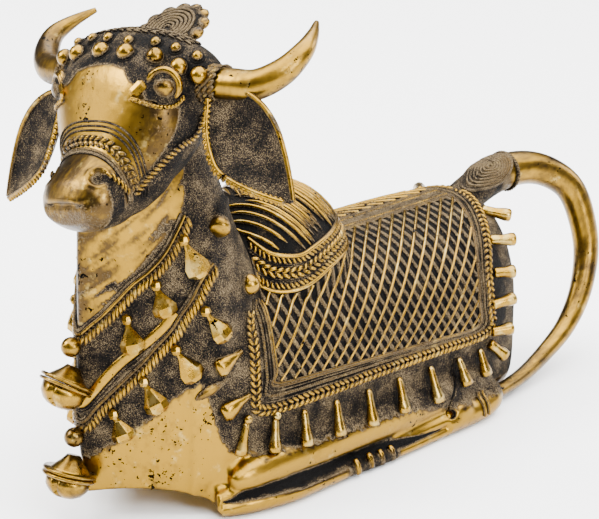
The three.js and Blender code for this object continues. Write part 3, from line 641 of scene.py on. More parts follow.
# The side of the head keeps its patina behind the first line (the least y that is still gold, by
# height), and the brow above the second one (the top of the gold, by the distance from the middle).
CHEEK_LINE = [
    (-44, -47), (-36, -40), (-27, -30), (-22, -25.5), (-18, -23), (-12, -19), (-5, -13.7),
    (1.5, -8.6), (9, -6), (13, -12), (16, -18), (22, -17), (34, -10)]
BROW_LINE = [(0, 32.5), (8, 32), (15, 30), (19, 25.5), (23, 23), (28, 22), (34, 12), (40, 12)]


def head_rub(place, normal):
    x, y, z = to_head @ place
    rub = (from_table(CHEEK_LINE, z) - y) / 4 + 0.5
    rub = min(rub, (from_table(BROW_LINE, abs(x)) - z) / 3 + 0.5)
    if y < -34:
        rub = min(rub, nearest_on(mouth_line, Vector((x, y, z))) / 1.6)
        away = (Vector((abs(x), y, z)) - Vector(NOSTRIL_AT)).length
        rub = min(rub, away / 3.2 - 0.5)
        rub = min(rub, max(0.62, (z + 28) / 4), 0.69)
        if z < -14:
            rub = min(rub, (-42 - y) / 4 + 0.5)
    sideways = abs((to_head.to_3x3() @ normal).normalized().x)
    rub = min(rub, 1 - 0.32 * max(0, min(1, (sideways - 0.35) / 0.4)))
    return max(0.18, min(rub, 1.0))


finished(head, skin_brass, head_rub)


# Threads: most of the relief is wax thread laid on the skin, single, twisted into ropes, or as
# two rows of strands that meet like arrow heads, which look plaited. They are rubbed where they
# stand proud of the skin, and stay dark at their feet.
def drawn(lines, radius):
    """A mesh of round wax threads. A line is a list of places, each with a share of the radius."""
    curve = bpy.data.curves.new("thread", "CURVE")
    curve.dimensions = "3D"
    curve.bevel_depth = radius / 1000
    curve.bevel_resolution = 1
    curve.use_fill_caps = True
    for line in lines:
        spline = curve.splines.new("POLY")
        spline.points.add(len(line) - 1)
        for point, (place, share) in zip(spline.points, line):
            point.co = (*place, 1)
            point.radius = share
    holder = bpy.data.objects.new("thread", curve)
    bpy.context.scene.collection.objects.link(holder)
    graph = bpy.context.evaluated_depsgraph_get()
    mesh = bpy.data.meshes.new_from_object(holder.evaluated_get(graph))
    bpy.data.objects.remove(holder)
    bpy.data.curves.remove(curve)
    return mesh


def laid(tree, spots, step=0.6):
    """Places with their normals every few tenths along a line through spots, down on a skin."""
    run = []
    for i in range(len(spots) - 1):
        near = four_round(spots, i)
        count = max(1, ceil((near[2] - near[1]).length * 1000 / step))
        run += [Vector(through(*near, k / count)) for k in range(count)]
    run.append(spots[-1].copy())
    found = [tree.find_nearest(spot)[:2] for spot in run]
    for _ in range(3):
        found = [((a + 2 * b + c) / 4, (m + 2 * n + o).normalized()) for (a, m), (b, n), (c, o)
                 in zip([found[0]] + found, found, found[1:] + [found[-1]])]
    return found


def beside(places, aside, lift=0):
    """The same places moved sideways and outwards by millimetres."""
    moved, line = [], [place for place, normal in places]
    for i, (place, normal) in enumerate(places):
        across = heading(line, i).cross(normal).normalized()
        moved.append((place + across * (aside / 1000) + normal * (lift / 1000), normal))
    return moved


def wire(places, lift=0.3, aside=0, taper=False):
    """One thread along places: a list with one line for drawn()."""
    moved = beside(places, aside, lift)
    last = len(moved) - 1
    return [[(place, 0.25 + 0.75 * min(1, 6 * min(i, last - i) / last) if taper else 1)
             for i, (place, normal) in enumerate(moved)]]


def rope(places, width, pitch, hand=1, lift=0.3):
    """Two threads twisted into a rope along places, as lines for drawn()."""
    lines, run = [[], []], 0
    moved = beside(places, 0, lift)
    middle = [place for place, normal in moved]
    for i, (place, normal) in enumerate(moved):
        across = heading(middle, i).normalized().cross(normal).normalized()
        run += (place - middle[i - 1]).length * 1000 if i else 0
        for k, line in enumerate(lines):
            turn = hand * tau * run / pitch + tau * k / 2
            line.append((place + (normal * sin(turn) + across * cos(turn)) * (width / 4000), 1))
    return lines


STRAND = ((0, 0.55, 0), (0.3, 1, 0.35), (0.7, 1, 0.35), (1, 0.55, 0))


def strands(places, width, pitch, hand=1, lift=0.3, slant=1.0, low=-0.5, high=0.5):
    """Short threads that lie slanting across a line, one after another, as a rope's strands do."""
    walk, lines = [0], []
    for (a, m), (b, n) in zip(places, places[1:]):
        walk.append(walk[-1] + (b - a).length * 1000)
    for k in range(int(walk[-1] / pitch - slant)):
        line = []
        for t, share, rise in STRAND:
            spot = max(1, min(bisect(walk, (k + slant * t) * pitch), len(places) - 2))
            aside = hand * width * (low + (high - low) * t)
            moved = beside(places[spot - 1:spot + 2], aside, lift + rise)
            line.append((moved[1][0], share))
        lines.append(line)
    return lines


def plait(places, width, pitch, lift=0.3):
    """Two rows of strands that meet in the middle like arrow heads."""
    return [line for hand in (1, -1)
            for line in strands(places, width, pitch, hand, lift, 1.0, 0.04, 0.46)]


def relief(name, meshes, tree, proud=1.5, least=0.1, most=0.92, smooth=True):
    """One piece of several meshes, worn bright by how far its places stand proud of a skin. A most
    above 1 paints a pale highlight where they stand proudest.
    """
    shape = bmesh.new()
    for mesh in meshes:
        shape.from_mesh(mesh)
        bpy.data.meshes.remove(mesh)

    def rub(place, normal):
        near = tree.find_nearest(place)
        height = (place - near[0]).dot(near[1]) * 1000
        return least + (most - least) * max(0, min(1, height / proud)) ** 1.4
    finished(settled(name, shape), thread_brass, rub, smooth)


def wax(*makers):
    """A mesh of whatever the makers model in one lump of wax."""
    shape = bmesh.new()
    for maker in makers:
        maker(shape)
    return meshed("wax", shape)


def ball(centre, radius, fine):
    """A mesh of one ball of wax."""
    return wax(lambda shape: wax_ball(shape, centre, radius, fine=fine))


def turned(shape, start, end, profile, corners, flat=1.0, face=None):
    """A body turned about the line from start to end: shares of its length with radii in mm.
    It can be pressed flatter along one direction."""
    along = (end - start).normalized()
    across = face.cross(along) if face else along.cross(BACK if abs(along.y) < 0.8 else UP)
    across.normalize()
    rolled(shape, [oval(start + (end - start) * share, across, along.cross(across), radius / 1000,
                        radius / 1000 * flat, corners) for share, radius in profile])


def drop(*settings):
    """A mesh of one turned body."""
    return wax(lambda shape: turned(shape, *settings))


def hoop(heart, right, up, radius, count=12):
    """Places round a hoop that ends where it starts."""
    return [heart + (right * cos(tau * k / count) + up * sin(tau * k / count)) * radius
            for k in range(count + 1)]


# The eyes: a ball under a thick upper lid of two threads, with a rough rope for a lower lid and a
# flat bright corner piece towards the nose.
LID_RADIUS, EYE_OUT, LID_OUT, EYE_CORNER_SIZE = 7.2, 0.0016, 0.0032, 0.0068
LOWER_LID = [(22, -21, 17.6), (28.7, -18.2, 14.4), (33, -14.5, 11.8), (36.5, -8, 11), (38, -2, 14)]
EYE_LOOK, EYE_CORNER_AT, EYE_CORNER = (42, -26, 22), (25.2, -17.6, 20.8), (0.9, 0.42, 1.2, 1)
eyes, corners = [], bmesh.new()
for side in SIDES:
    heart, ahead, corner = on_side(side, (EYE_AT, EYE_LOOK, EYE_CORNER_AT), on_head)
    gaze = (ahead - heart).normalized()
    middle = Matrix.Translation(heart + gaze * EYE_OUT)
    eyes.append(wax(lambda shape: bmesh.ops.create_icosphere(
        shape, subdivisions=2, radius=EYE_RADIUS / 1000, matrix=middle)))
    rise = (UP - gaze * UP.dot(gaze)).normalized()
    level = rise.cross(gaze) * side
    upper = []
    for t in range(-40, 196, 8):
        out = level * cos(radians(t)) + rise * sin(radians(t))
        upper.append((heart + gaze * LID_OUT + out * (LID_RADIUS / 1000), gaze))
    lower = laid(head_tree, on_side(side, LOWER_LID, on_head), 0.7)
    eyes.append(drawn(wire(upper, 0.2, 0.4, True) + wire(upper, -0.7, -0.5, True), 1.75))
    eyes.append(drawn(rope(lower, 2.2, 3.6, 1, 0.5), 0.8))
    corner_turn = (head_turn.normalized().to_4x4() @ Matrix.Rotation(side * 0.75, 4, "Z")
                   @ Matrix.Rotation(side * 0.95, 4, "Y"))
    bmesh.ops.create_cube(corners, size=EYE_CORNER_SIZE, matrix=Matrix.Translation(corner)
                          @ corner_turn @ Matrix.Diagonal(EYE_CORNER))
relief("eyes", eyes, head_tree, 1.2, 0.25)
bmesh.ops.bevel(corners, geom=list(corners.verts) + list(corners.edges), offset=0.0014,
                segments=1, affect="EDGES")
finished(settled("eye_corners", corners), thread_brass, lambda place, normal: 1.0, False)


# The horns: they leave the poll sideways, turn back and up, and end in blunt points. Ropes are
# wrapped round their roots.
HORN = [
    (36, 9, 21), (54, 11, 21), (67, 14, 21), (77, 22, 26), (81, 32, 33), (78, 43, 38),
    (72, 54, 42)]
HORN_RADII = [7.8, 7.6, 7.2, 6.4, 5.0, 3.2, 1.3]
CUFFS, CUFF_X, CUFF_STEP, CUFF_RADIUS = 3, 42, 3.3, 0.012
horn_shape = bmesh.new()
for side in SIDES:
    limb(horn_shape, on_side(side, HORN, on_horns), HORN_RADII, 28, 7)
horns = settled("horns", horn_shape)


def horn_rub(place, normal):
    return (0.93 if place.x > 0 else 0.74) - 0.35 * max(0, -normal.z) ** 2


finished(horns, skin_brass, horn_rub)
horn_tree = tree_of(horns)
cuffs = []
for side in SIDES:
    root, beyond = on_side(side, HORN[:2], on_horns)
    along = (beyond - root).normalized()
    for k in range(CUFFS):
        centre = on_horns(side * (CUFF_X + CUFF_STEP * k), 9.6 + 0.3 * k, 21)
        places = laid(horn_tree, hoop(centre, UP, along.cross(UP), CUFF_RADIUS))
        cuffs.append(drawn(strands(places, 3.4, 2.7, side, 1.0, 1.4), 1.1))
relief("horn_wraps", cuffs, horn_tree, 3.2, 0.1)


# The ears: cupped leaves that hang outwards, hollow side to the front. A thread runs round the
# rim, and strands of a rope lie along the lower edge. The hollow is rough and dark.
EAR_LONG, EAR_HALF, EAR_THICK, EAR_CUP = 65.5, 17.5, 2.6, 5.5
EAR = [
    [-0.2, 0.3], [-0.08, 0.42], [0.03, 0.6], [0.12, 0.8], [0.24, 0.98], [0.39, 1.05], [0.56, 0.95],
    [0.75, 0.64], [0.92, 0.27], [1, 0.06]]
ear_shape = bmesh.new()
ear_threads, ear_ropes = [], []
for side in SIDES:
    along = Vector((side * 0.698, -0.107, -0.708)).normalized()
    across = Vector((side * 0.68, 0.42, 0.6)).normalized()
    hollow = along.cross(across).normalized() * side
    root = Vector((side * 50, 6, 13)) - across * 3
    rings, upper_rim, lower_rim, inner_line = [], [], [], []
    normal = (head_turn @ hollow).normalized()
    for share, width in eased(EAR, 4):
        trim = 9 * max(0, 1 - max(share, 0) / 0.45)
        half = width * EAR_HALF - trim / 2
        centre = root + along * (share * EAR_LONG) + across * (trim / 2)
        cupped = []
        for spot in oval(centre, across, hollow, half, EAR_THICK / 2, 40):
            offset = (spot - centre).dot(across) / half
            cup = EAR_CUP * width * (offset ** 2 - 0.45)
            cupped.append(head_frame @ (spot + hollow * cup))
        rings.append(cupped)
        if share > 0.0:
            upper_rim.append((cupped[0], normal))
            lower_rim.append(cupped[20])
            inner_line.append((cupped[18] + normal * 0.0006, normal))
    rolled(ear_shape, rings)
    ear_threads += wire(upper_rim, 0.2) + wire(inner_line[:-2], 0.6)
    fine_line = [(Vector(through(*four_round(lower_rim, i), t / 10)), normal)
                 for i in range(len(lower_rim) - 1) for t in range(10)]
    ear_ropes += strands(fine_line, 3.4, 2.6, side, 0.8, 0.7)
ears = settled("ears", ear_shape)


def ear_rub(place, normal):
    return 0.24 if normal.dot(head_turn @ -BACK) > 0 else 0.3


finished(ears, skin_brass, ear_rub)
relief("ear_rims", [drawn(ear_threads, 1.3), drawn(ear_ropes, 1.25)], tree_of(ears), 1.2, 0.3)


# The crest: a disc between the horns that leans back, coiled of one thread and edged with balls.
# A cone of wax behind it holds it to the poll.
CREST_AT, CREST_LEAN, CREST_RADIUS, CREST_BALLS = (-4.5, 35, 38.5), radians(62), 15.6, 14
COIL_TURNS, COIL_PITCH, COIL_STEPS = 7, 2.15, 28
crest_up = (horn_turn @ Vector((0, -cos(CREST_LEAN), sin(CREST_LEAN)))).normalized()
crest_side = (horn_turn @ RIGHT).normalized()
crest_back = crest_up.cross(crest_side)
crest_heart = on_horns(*CREST_AT)
crest_turn = Matrix((crest_side, crest_back, crest_up)).transposed().to_4x4()


def on_crest(radius, turn, rise):
    """A place over the disc, by its way from the middle and its height."""
    out = crest_side * cos(turn) + crest_back * sin(turn)
    return crest_heart + out * (radius / 1000) + crest_up * (rise / 1000)


def crest_balls(shape):
    for k in range(CREST_BALLS):
        spot = on_crest(CREST_RADIUS + 1.2, tau * k / CREST_BALLS, -0.9)
        wax_ball(shape, spot, 4.4, (1, 1, 0.55), crest_turn, 14)


crest_plate = wax(
    lambda shape: turned(shape, crest_heart - crest_up * 0.0019, crest_heart + crest_up * 0.0012,
                         [(0, CREST_RADIUS), (0.5, CREST_RADIUS + 1.4), (1, CREST_RADIUS)], 48),
    lambda shape: turned(shape, on_horns(0, 18, 24), crest_heart - crest_up * 0.004,
                         [(0, 12), (0.5, 10), (1, 6)], 24))
coil = [[(on_crest(0.8 + COIL_PITCH * k / COIL_STEPS, tau * k / COIL_STEPS, 1.6), 1)
         for k in range(COIL_STEPS * COIL_TURNS)]]
balls = wax(crest_balls)
crest_tree = BVHTree.FromPolygons([v.co.copy() for v in crest_plate.vertices],
                                  [list(p.vertices) for p in crest_plate.polygons])
relief("crest", [crest_plate, drawn(coil, 0.85), balls], crest_tree, 2.2, 0.15, 0.86)


# The brow: a row of balls in thread rings, a second row of small ones, and two plaits behind them
# that edge the poll.
BALLS = [
    (-41, 2, 29.5), (-28.5, -2, 33), (-7.5, -7.2, 34.5), (9, -8, 35.5), (22.5, -4.1, 33.8),
    (35, -1.8, 30.2), (44, 1.5, 26.5)]
SMALL_BALLS = [
    (-34, 5, 35.5), (-23, 3, 39.5), (-11, 1, 41), (3.5, -0.5, 41), (18.6, 2, 40),
    (29.8, 3.2, 37.6), (40, 5.7, 33.7)]
CAP_EDGE = [
    (-40, 10, 36), (-26, 9, 42.5), (-12, 8, 45), (3, 7.5, 45.5), (18, 9, 44.5), (30, 10, 41.5),
    (42, 12, 36)]
BALL_RADIUS, SMALL_BALL_RADIUS = 4.3, 2.6
brow = []
for spots, radius in ((BALLS, BALL_RADIUS), (SMALL_BALLS, SMALL_BALL_RADIUS)):
    for spot in spots:
        place, normal = head_tree.find_nearest(on_horns(*spot))[:2]
        brow.append(ball(place + normal * (radius * 0.0002), radius, 16))
        across = normal.cross(UP).normalized()
        ring = hoop(place, across, normal.cross(across), (radius + 0.9) / 1000, 10)
        brow.append(drawn(wire(laid(head_tree, ring, 0.8), -0.1), 0.6))
for back, width in ((0, 3.4), (5, 3.0)):
    line = laid(head_tree, [on_horns(x, y + back, z) for x, y, z in CAP_EDGE])
    brow.append(drawn(plait(line, width, 5.0), 0.6))
relief("brow_balls", brow, head_tree, 2.2, 0.0)


# The nose band: threads and a plait round the nose above the muzzle. From its lower ends a rope
# runs up each cheek to the horn, and another forward to the nostril.
BAND_HEART, BAND_UP = Vector((0, -29, -14)), Vector((0, -0.158, 0.987))
BAND_AHEAD, BAND_END = Vector((0, -0.987, -0.158)), 126
CHEEK_ROPE = [
    (21, -27, -27), (25.7, -22.1, -20), (32.1, -15.8, -13), (35.5, -8.4, -8.4), (37, 2.8, -5),
    (42, 9, 3)]
NOSE_ROPE = [(17, -39, -13.5), (19.5, -36, -18), (20.5, -32, -23.5), (20.5, -28.5, -27.5)]


def band_line(ahead):
    """A line over the nose from one lower end to the other, this far forward of the plait."""
    spots = []
    heart = BAND_HEART + BAND_AHEAD * ahead
    for k in range(17):
        turn = radians(-BAND_END + 2 * BAND_END * k / 16)
        out = (BAND_UP * cos(turn) + RIGHT * sin(turn)) * 60
        start, end = head_frame @ (heart + out), head_frame @ heart
        spots.append(head_tree.ray_cast(start, end - start)[0])
    return laid(head_tree, spots)


band = [drawn([line for ahead in (-6.0, -4.8, -3.6) for line in wire(band_line(ahead), 0.1)], 0.6),
        drawn(plait(band_line(-0.6), 5.2, 3.4, 0.4), 1.0),
        drawn(wire(band_line(2.9), 0.4) + wire(band_line(4.6), 0.2), 0.95)]
for side in SIDES:
    cheek = laid(head_tree, on_side(side, CHEEK_ROPE, on_head))
    nose = laid(head_tree, on_side(side, NOSE_ROPE, on_head))
    band += [drawn(strands(cheek, 3.4, 2.5, side, 0.5), 0.9),
             drawn(strands(nose, 3.0, 2.3, side, 0.9), 0.9)]
relief("nose_band", band, head_tree, 1.7, 0.0)


# Garlands: two ropes hang round the neck, each under two smooth wires, and a flat strap lies
# between them. Each rope carries balls with faceted drops below them.
UPPER_GARLAND = [
    (2, 93.8), (7, 98.5), (14, 104.3), (22, 111.3), (32, 119), (45, 125.5), (58, 134), (68, 144),
    (75, 152)]
UPPER_DROPS = [((70, 141), (81, 123)), ((47, 120.1), (55, 105)), ((26, 104), (31, 87.1))]
LOWER_GARLAND = [
    (4, 49.6), (11, 58), (21, 67.3), (30, 74.3), (39, 80.6), (48, 87.5), (61, 96.6), (66, 102),
    (76, 111), (83, 119.2), (92, 127)]
LOWER_DROPS = [
    ((80, 106.1), (92, 91.4)), ((60, 87.8), (73, 72.7)), ((37, 73), (48, 57.2)),
    ((18, 56.5), (25, 42.8))]
STRAP = [(3, 60.5), (14, 73), (22, 80.4), (32, 86.6), (43, 92.5), (54, 99), (62, 106)]
PENDANT_BALL = 2.8
DROP = [(0, 0.8), (0.22, 1.7), (0.45, 3.8), (0.68, 5.9), (0.88, 5.8), (1, 3.6)]


def neck_spot(side, turn, height):
    """Where a level line in towards the neck's axis meets its skin, by angle and height."""
    out = Vector((side * sin(radians(turn)), -cos(radians(turn)), 0))
    return body_tree.ray_cast(at(0, NECK_Y, height) + out * 0.12, -out)[0]


def round_neck(table):
    """A line right round the neck's front, from its left side to its right one."""
    left = [neck_spot(1, turn, height) for turn, height in reversed(table)]
    return laid(body_tree, left + [neck_spot(-1, turn, height) for turn, height in table])


def ribbon(shape, places, half, thick):
    """A flat band of wax along places."""
    rings, line = [], [place for place, normal in places]
    for i, (place, normal) in enumerate(places):
        across = heading(line, i).cross(normal).normalized()
        rings.append(oval(place + normal * (thick / 2000), across, normal, half / 1000,
                          thick / 1000, 14, power=3))
    rolled(shape, rings)


upper_line, lower_line = round_neck(UPPER_GARLAND), round_neck(LOWER_GARLAND)
strap_line = round_neck(STRAP)
garlands = [drawn([line for places in (upper_line, lower_line)
                   for line in strands(beside(places, -1.4), 4.6, 2.5, -1, 0.9, 1.7)], 1.05),
            drawn([line for places, lift in ((upper_line, 1.3), (lower_line, 0.9))
                   for line in wire(places, lift, 2.3) + wire(places, 0.3, 3.9)], 0.85),
            drawn(wire(strap_line, 0.2, -2.2) + wire(strap_line, 0.2, -3.6), 0.8)]
pendants = []
for side in SIDES:
    for ball_spot, drop_spot in UPPER_DROPS + LOWER_DROPS:
        ball_at, drop_at = neck_spot(side, *ball_spot), neck_spot(side, *drop_spot)
        out = body_tree.find_nearest(drop_at)[1]
        down = (drop_at - ball_at).normalized()
        pendants += [ball(ball_at + out * 0.0022, PENDANT_BALL, 8),
                     drop(ball_at + down * 0.001 + out * 0.0018, drop_at + out * 0.0028, DROP, 6,
                          0.62, out)]
strap = wax(lambda shape: ribbon(shape, beside(strap_line, 1.2), 2.5, 1.1))
relief("garlands", garlands, body_tree, 2.2, 0.0)
relief("strap", [strap], body_tree, 1.2, 0.1)
# Painted highlight: a most above 1 paints the pendants pale gold where they stand proudest.
relief("pendants", pendants, body_tree, 2.6, 0.3, 1.12, False)


# The bells: two on the chest, one over the other, each a ball, a cone and a cup slit open below,
# with a double rim between them.
BELL_Y, BELLS, BELL_RIM, BELL_CUP = -156, [(72.5, -33), (26, -20)], 13.5, 10.5
BELL_HIGH, BELL_SLIT_X, BELL_BALL = 24, 2.4, 4.9
CONE = [(0, BELL_CUP + 1), (0.3, 9), (0.7, 5.4), (1, 3.4)]
CUP = [(0, 2.5), (0.06, 5.5), (0.2, 8), (0.35, 9.4), (0.5, BELL_CUP), (1, BELL_CUP + 0.6)]
RIM = [(0, BELL_RIM - 0.6), (0.5, BELL_RIM), (1, BELL_RIM - 0.6)]
bells = []
for height, lean in BELLS:
    turn = (Matrix.Translation(at(0, BELL_Y, height)) @ Matrix.Rotation(radians(lean), 4, "X")
            @ Matrix.Scale(0.001, 4))
    to_bell = turn.inverted()

    def bell_part(shape, low, high, profile, corners=32):
        turned(shape, turn @ Vector((0, 0, low)), turn @ Vector((0, 0, high)), profile, corners)

    def slit_cup(shape):
        bell_part(shape, -12, -1.2, CUP, 64)
        for vert in shape.verts:
            x, y, z = to_bell @ vert.co
            if abs(x - BELL_SLIT_X) < 0.75 and y < 0 and -11.5 < z < -2:
                vert.co = turn @ Vector((x, y + 3.5, z))

    bells += [wax(lambda shape: bell_part(shape, -0.2, 9, CONE), slit_cup,
                  lambda shape: bell_part(shape, 0.2, 1.8, RIM),
                  lambda shape: bell_part(shape, -2.0, -0.4, RIM)),
              ball(at(0, NECK_FRONT_Y - 2.5, height + 0.74 * BELL_HIGH), BELL_BALL, 20)]
relief("bells", bells, body_tree, 1.2, 0.4, 0.82)


# The saddle cloth: a plaited border, inside it a fine rope between two thin threads and then two
# bright ones, and a band of threads and fine rope along the spine. All of it is laid on the skin.
BORDER_OUT = [
    (0, 121, 103), (13.7, 119, 102), (30.9, 109.3, 94.4), (46.8, 94.9, 76.2), (51, 93, 58),
    (51.6, 91.5, 44.5), (53.8, 49.3, 45.7), (54.2, 3.4, 47), (53.9, -39.5, 47.3), (50.5, -78, 48),
    (49.3, -82, 60.3), (46, -79.6, 81), (40, -75, 104)]
BORDER_IN = [
    (0, 108, 104.6), (8, 107.5, 104.5), (25.4, 100.8, 99.7), (43.5, 87, 84), (51, 81, 66),
    (52.6, 79.5, 51.5), (53.7, 49.1, 53), (54.1, 3.3, 56.8), (53.9, -32.6, 59.7),
    (51.2, -66.5, 61.7), (50, -66.5, 68), (47, -65.8, 82.6), (38, -61, 101)]
SPINE_Y, SPINE_ROPE_X = [22, 40, 75, 109], 3.7
SPINE_THREADS = [(7.2, 0.75), (5.7, 0.7), (2.0, 0.55), (0.7, 0.5)]


def between(share, side, outer=BORDER_OUT, inner=BORDER_IN):
    """A line on the skin, part of the way between two lines of places on one side."""
    return laid(body_tree, on_side(side, [[a + (b - a) * share for a, b in zip(*pair)]
                                          for pair in zip(outer, inner)]))


def spine_line(x):
    """A line along the back, this far from its middle."""
    return laid(body_tree, [body_tree.ray_cast(at(x, y, 200), -UP)[0] for y in SPINE_Y])


border, spine = [], []
for side in SIDES:
    border += [drawn(plait(between(0.14, side), 6.4, 3.4, 0.6), 0.95),
               drawn(rope(between(0.6, side), 2.4, 2.8, side, 0.1), 0.6),
               drawn(wire(between(0.4, side), 0.2) + wire(between(0.76, side), 0.2), 0.55),
               drawn(wire(between(0.9, side), 0.5) + wire(between(1.0, side), 0.6), 0.7)]
    for x, radius in SPINE_THREADS:
        spine.append(drawn(wire(spine_line(side * x), 0.35), radius))
    spine.append(drawn(rope(spine_line(side * SPINE_ROPE_X), 2.3, 2.8), 0.6))
relief("saddle_border", border, body_tree, 1.5, 0.0)
relief("spine_band", spine, body_tree, 1.3, 0.0)


# The lattice on the cloth: thin bright threads that lean towards the tail, over low dark ribs that
# cross them. Both are laid by the angle round the trunk's long axis and by the place along it.
THREAD_LEAN = [(-6, -20), (11, -1), (26, 15), (45, 36.5), (58, 52), (76, 73.5), (88, 87)]
RIB_LEAN = [(-6, 4), (20, -13), (35, -20), (45, -22.5), (60, -24), (88, -25)]
THREAD_SPACING, RIB_SPACING, FIELD_TOP = 9.5, 5.9, 82.5
COLLAR_IN = [
    (20, -56, 126), (28, -51, 119.5), (33, -45, 117), (36.5, -36, 116), (36.6, -27, 118),
    (34.8, -17, 120), (30.4, -6.7, 121.5), (18, 5, 121), (0, 11, 120.5)]
COLLAR_OUT = [
    (30, -62, 108), (33.3, -54, 101.6), (38, -45.5, 100), (40.3, -36, 101), (40.8, -28, 103.5),
    (40, -19, 106.5), (36.5, -8, 108.5), (24, 12, 110), (0, 21, 110)]


def flank_spot(side, y, turn, axis_z=BELLY_Z, reach=0.12):
    """A place on the skin by its angle round an axis along the body, 0 level and 90 upright."""
    out = Vector((side * cos(radians(turn)), 0, sin(radians(turn))))
    return body_tree.ray_cast(at(0, y, axis_z) + out * reach, -out)[:2]


def turn_of(place):
    """A place's angle round the trunk's axis and its place along it."""
    x, y, z = measured(place)
    return degrees(atan2(z - BELLY_Z, abs(x))), y


def field_edge(side):
    """The outline of the lattice as angles and places along the trunk."""
    line = between(1.04, side)[::6] + between(-0.06, side, COLLAR_OUT, COLLAR_IN)[::6]
    edge = [turn_of(place) for place, normal in line]
    return [spot for spot in edge if spot[0] < FIELD_TOP] + [(FIELD_TOP, 24), (FIELD_TOP, 107)]


def within(edge, turn, y):
    """Whether a place lies inside an outline."""
    inside = False
    for (a, b), (c, d) in zip(edge, edge[1:] + edge[:1]):
        if (b > y) != (d > y) and turn < a + (c - a) * (y - b) / (d - b):
            inside = not inside
    return inside


def fuller_above(line):
    """The same thread, getting thicker up the flank."""
    return [(place, 0.8 + 0.35 * max(0, min(1, (measured(place).z - 60) / 45)))
            for place, share in line]


lattice, ribs = [], []
for side in SIDES:
    field = field_edge(side)
    for lines, lean, spacing in ((lattice, THREAD_LEAN, THREAD_SPACING),
                                 (ribs, RIB_LEAN, RIB_SPACING)):
        for k in range(-18, 26):
            run = []
            for step in range(-8, 173):
                turn = step / 2
                y = from_table(lean, turn) + spacing * k
                if step < 172 and within(field, turn, y):
                    run.append(flank_spot(side, y, turn))
                elif run:
                    lines.append(run)
                    run = []
threads = [fuller_above(line) for run in lattice if len(run) > 4 for line in wire(run, 0.75)]
low_ribs = [line for run in ribs if len(run) > 3 for line in wire(run, -0.45)]
# Painted highlight: a most above 1 paints the lattice threads pale gold on their tops.
relief("lattice", [drawn(threads, 0.8)], body_tree, 1.6, 0.0, 1.2)
relief("lattice_ribs", [drawn(low_ribs, 1.6)], body_tree, 1.15, 0.0, 0.58)


# The hump: ridges of wax thread run down its sides and its back like folds, and a broad plaited
# collar with ropes and threads on both sides lies right round its foot.
RIDGE_Y = [-56, -51, -45.5, -40.5, -36, -31.8, -27.8, -24, -20.2, -16.6, -13, -9.5, -6, -2.5, 1,
           4.8, 8.6, 12.5, 16.5]
RIDGE_DRIFT, RIDGE_Z = 0.36, 98


def dome_over(place):
    """The height of the hump's own dome over a place, without the neck."""
    x, y, z = measured(place)
    spread = (x / HUMP_HALF) ** 2 + ((y - HUMP_Y) / HUMP_LONG) ** 2
    return HUMP_FOOT + (HUMP_TOP - HUMP_FOOT) * max(0, 1 - spread) ** (1 / HUMP_SWELL)


def collar(share):
    """A line right round the hump's foot, from its left side over the back to its right one."""
    half = [Vector(a) + (Vector(b) - Vector(a)) * share for a, b in zip(COLLAR_IN, COLLAR_OUT)]
    return laid(body_tree, on_side(1, half) + on_side(-1, reversed(half[:-1])))


folds = []
chance = Random(11)
for side in SIDES:
    for start_y in RIDGE_Y:
        run = []
        for step in range(24, 97):
            spot = flank_spot(side, start_y + RIDGE_DRIFT * (50 - step), step, RIDGE_Z, 0.1)
            place = spot[0]
            foot_z = min(((place - at(side * a, b, c)).length, c) for a, b, c in COLLAR_IN)[1]
            if foot_z + 0.5 < measured(place).z < dome_over(place) + 6:
                run.append(spot)
        if len(run) > 12:
            first = int(len(run) * chance.uniform(0, 0.25))
            last = int(len(run) * chance.uniform(0.8, 1))
            lift, aside = chance.uniform(0.4, 0.9), chance.uniform(-0.6, 0.6)
            folds += wire(run[first:last], lift, aside, True)
            if chance.random() < 0.4:
                folds += wire(run[first // 2:last - 6], 0.3, chance.choice((-1.5, 1.5)), True)
# Painted highlight: a most just above 1 paints the tops of these threads a little pale.
relief("hump_folds", [
    drawn(folds, 1.0),
    drawn(wire(collar(0), 0.6) + wire(collar(1), 0.6), 1.15),
    drawn([line for share in (0.14, 0.85) for line in strands(collar(share), 3.2, 2.6)], 0.85),
    drawn([line for share in (0.25, 0.31, 0.67, 0.73) for line in wire(collar(share), 0.1)], 0.5),
    drawn(plait(collar(0.49), 5.6, 3.6, 0.4), 1.05)], body_tree, 1.5, 0.0, 1.06)


# Pegs: a row of drops of wax hangs from the cloth's hem over the swelling of the flank, the first
# two under small balls, and another row of blunt ones stands out along its rear edge.
HEM_PEGS = [
    ((-86, 47), (-90, 30)), ((-69, 44.5), (-73, 28)), ((-51, 43.5), (-54, 26.5)),
    ((-29.5, 42.5), (-32, 25.5)), ((-6.5, 41.5), (-9, 24)), ((16.5, 41), (14.5, 24)),
    ((40.5, 40), (40, 22)), ((63, 38), (64, 24)), ((81, 37.5), (82, 23.5))]
REAR_PEGS = [
    ((22.3, 116.6, 99), (33.5, 127.5, 96)), ((37.5, 105.9, 88.4), (45.5, 117.5, 88)),
    ((46.8, 98.9, 74), (53, 109, 74)), ((50.9, 93.3, 58.4), (55, 107, 60)),
    ((52, 92, 44), (56.5, 104, 44)), ((52.5, 90, 38), (56, 99.5, 29))]
HEM_PEG = [(0, 1.5), (0.12, 2.1), (0.45, 2.4), (0.8, 3.7), (0.96, 3.8), (1, 2.8)]
REAR_PEG = [(0, 2.6), (0.06, 2.9), (0.45, 2.7), (0.8, 3.6), (0.95, 3.5), (1, 2.6)]


def side_spot(side, y, z):
    """Where a level line in from one side meets the body."""
    return body_tree.ray_cast(at(side * 130, y, z), RIGHT * -side)[0]


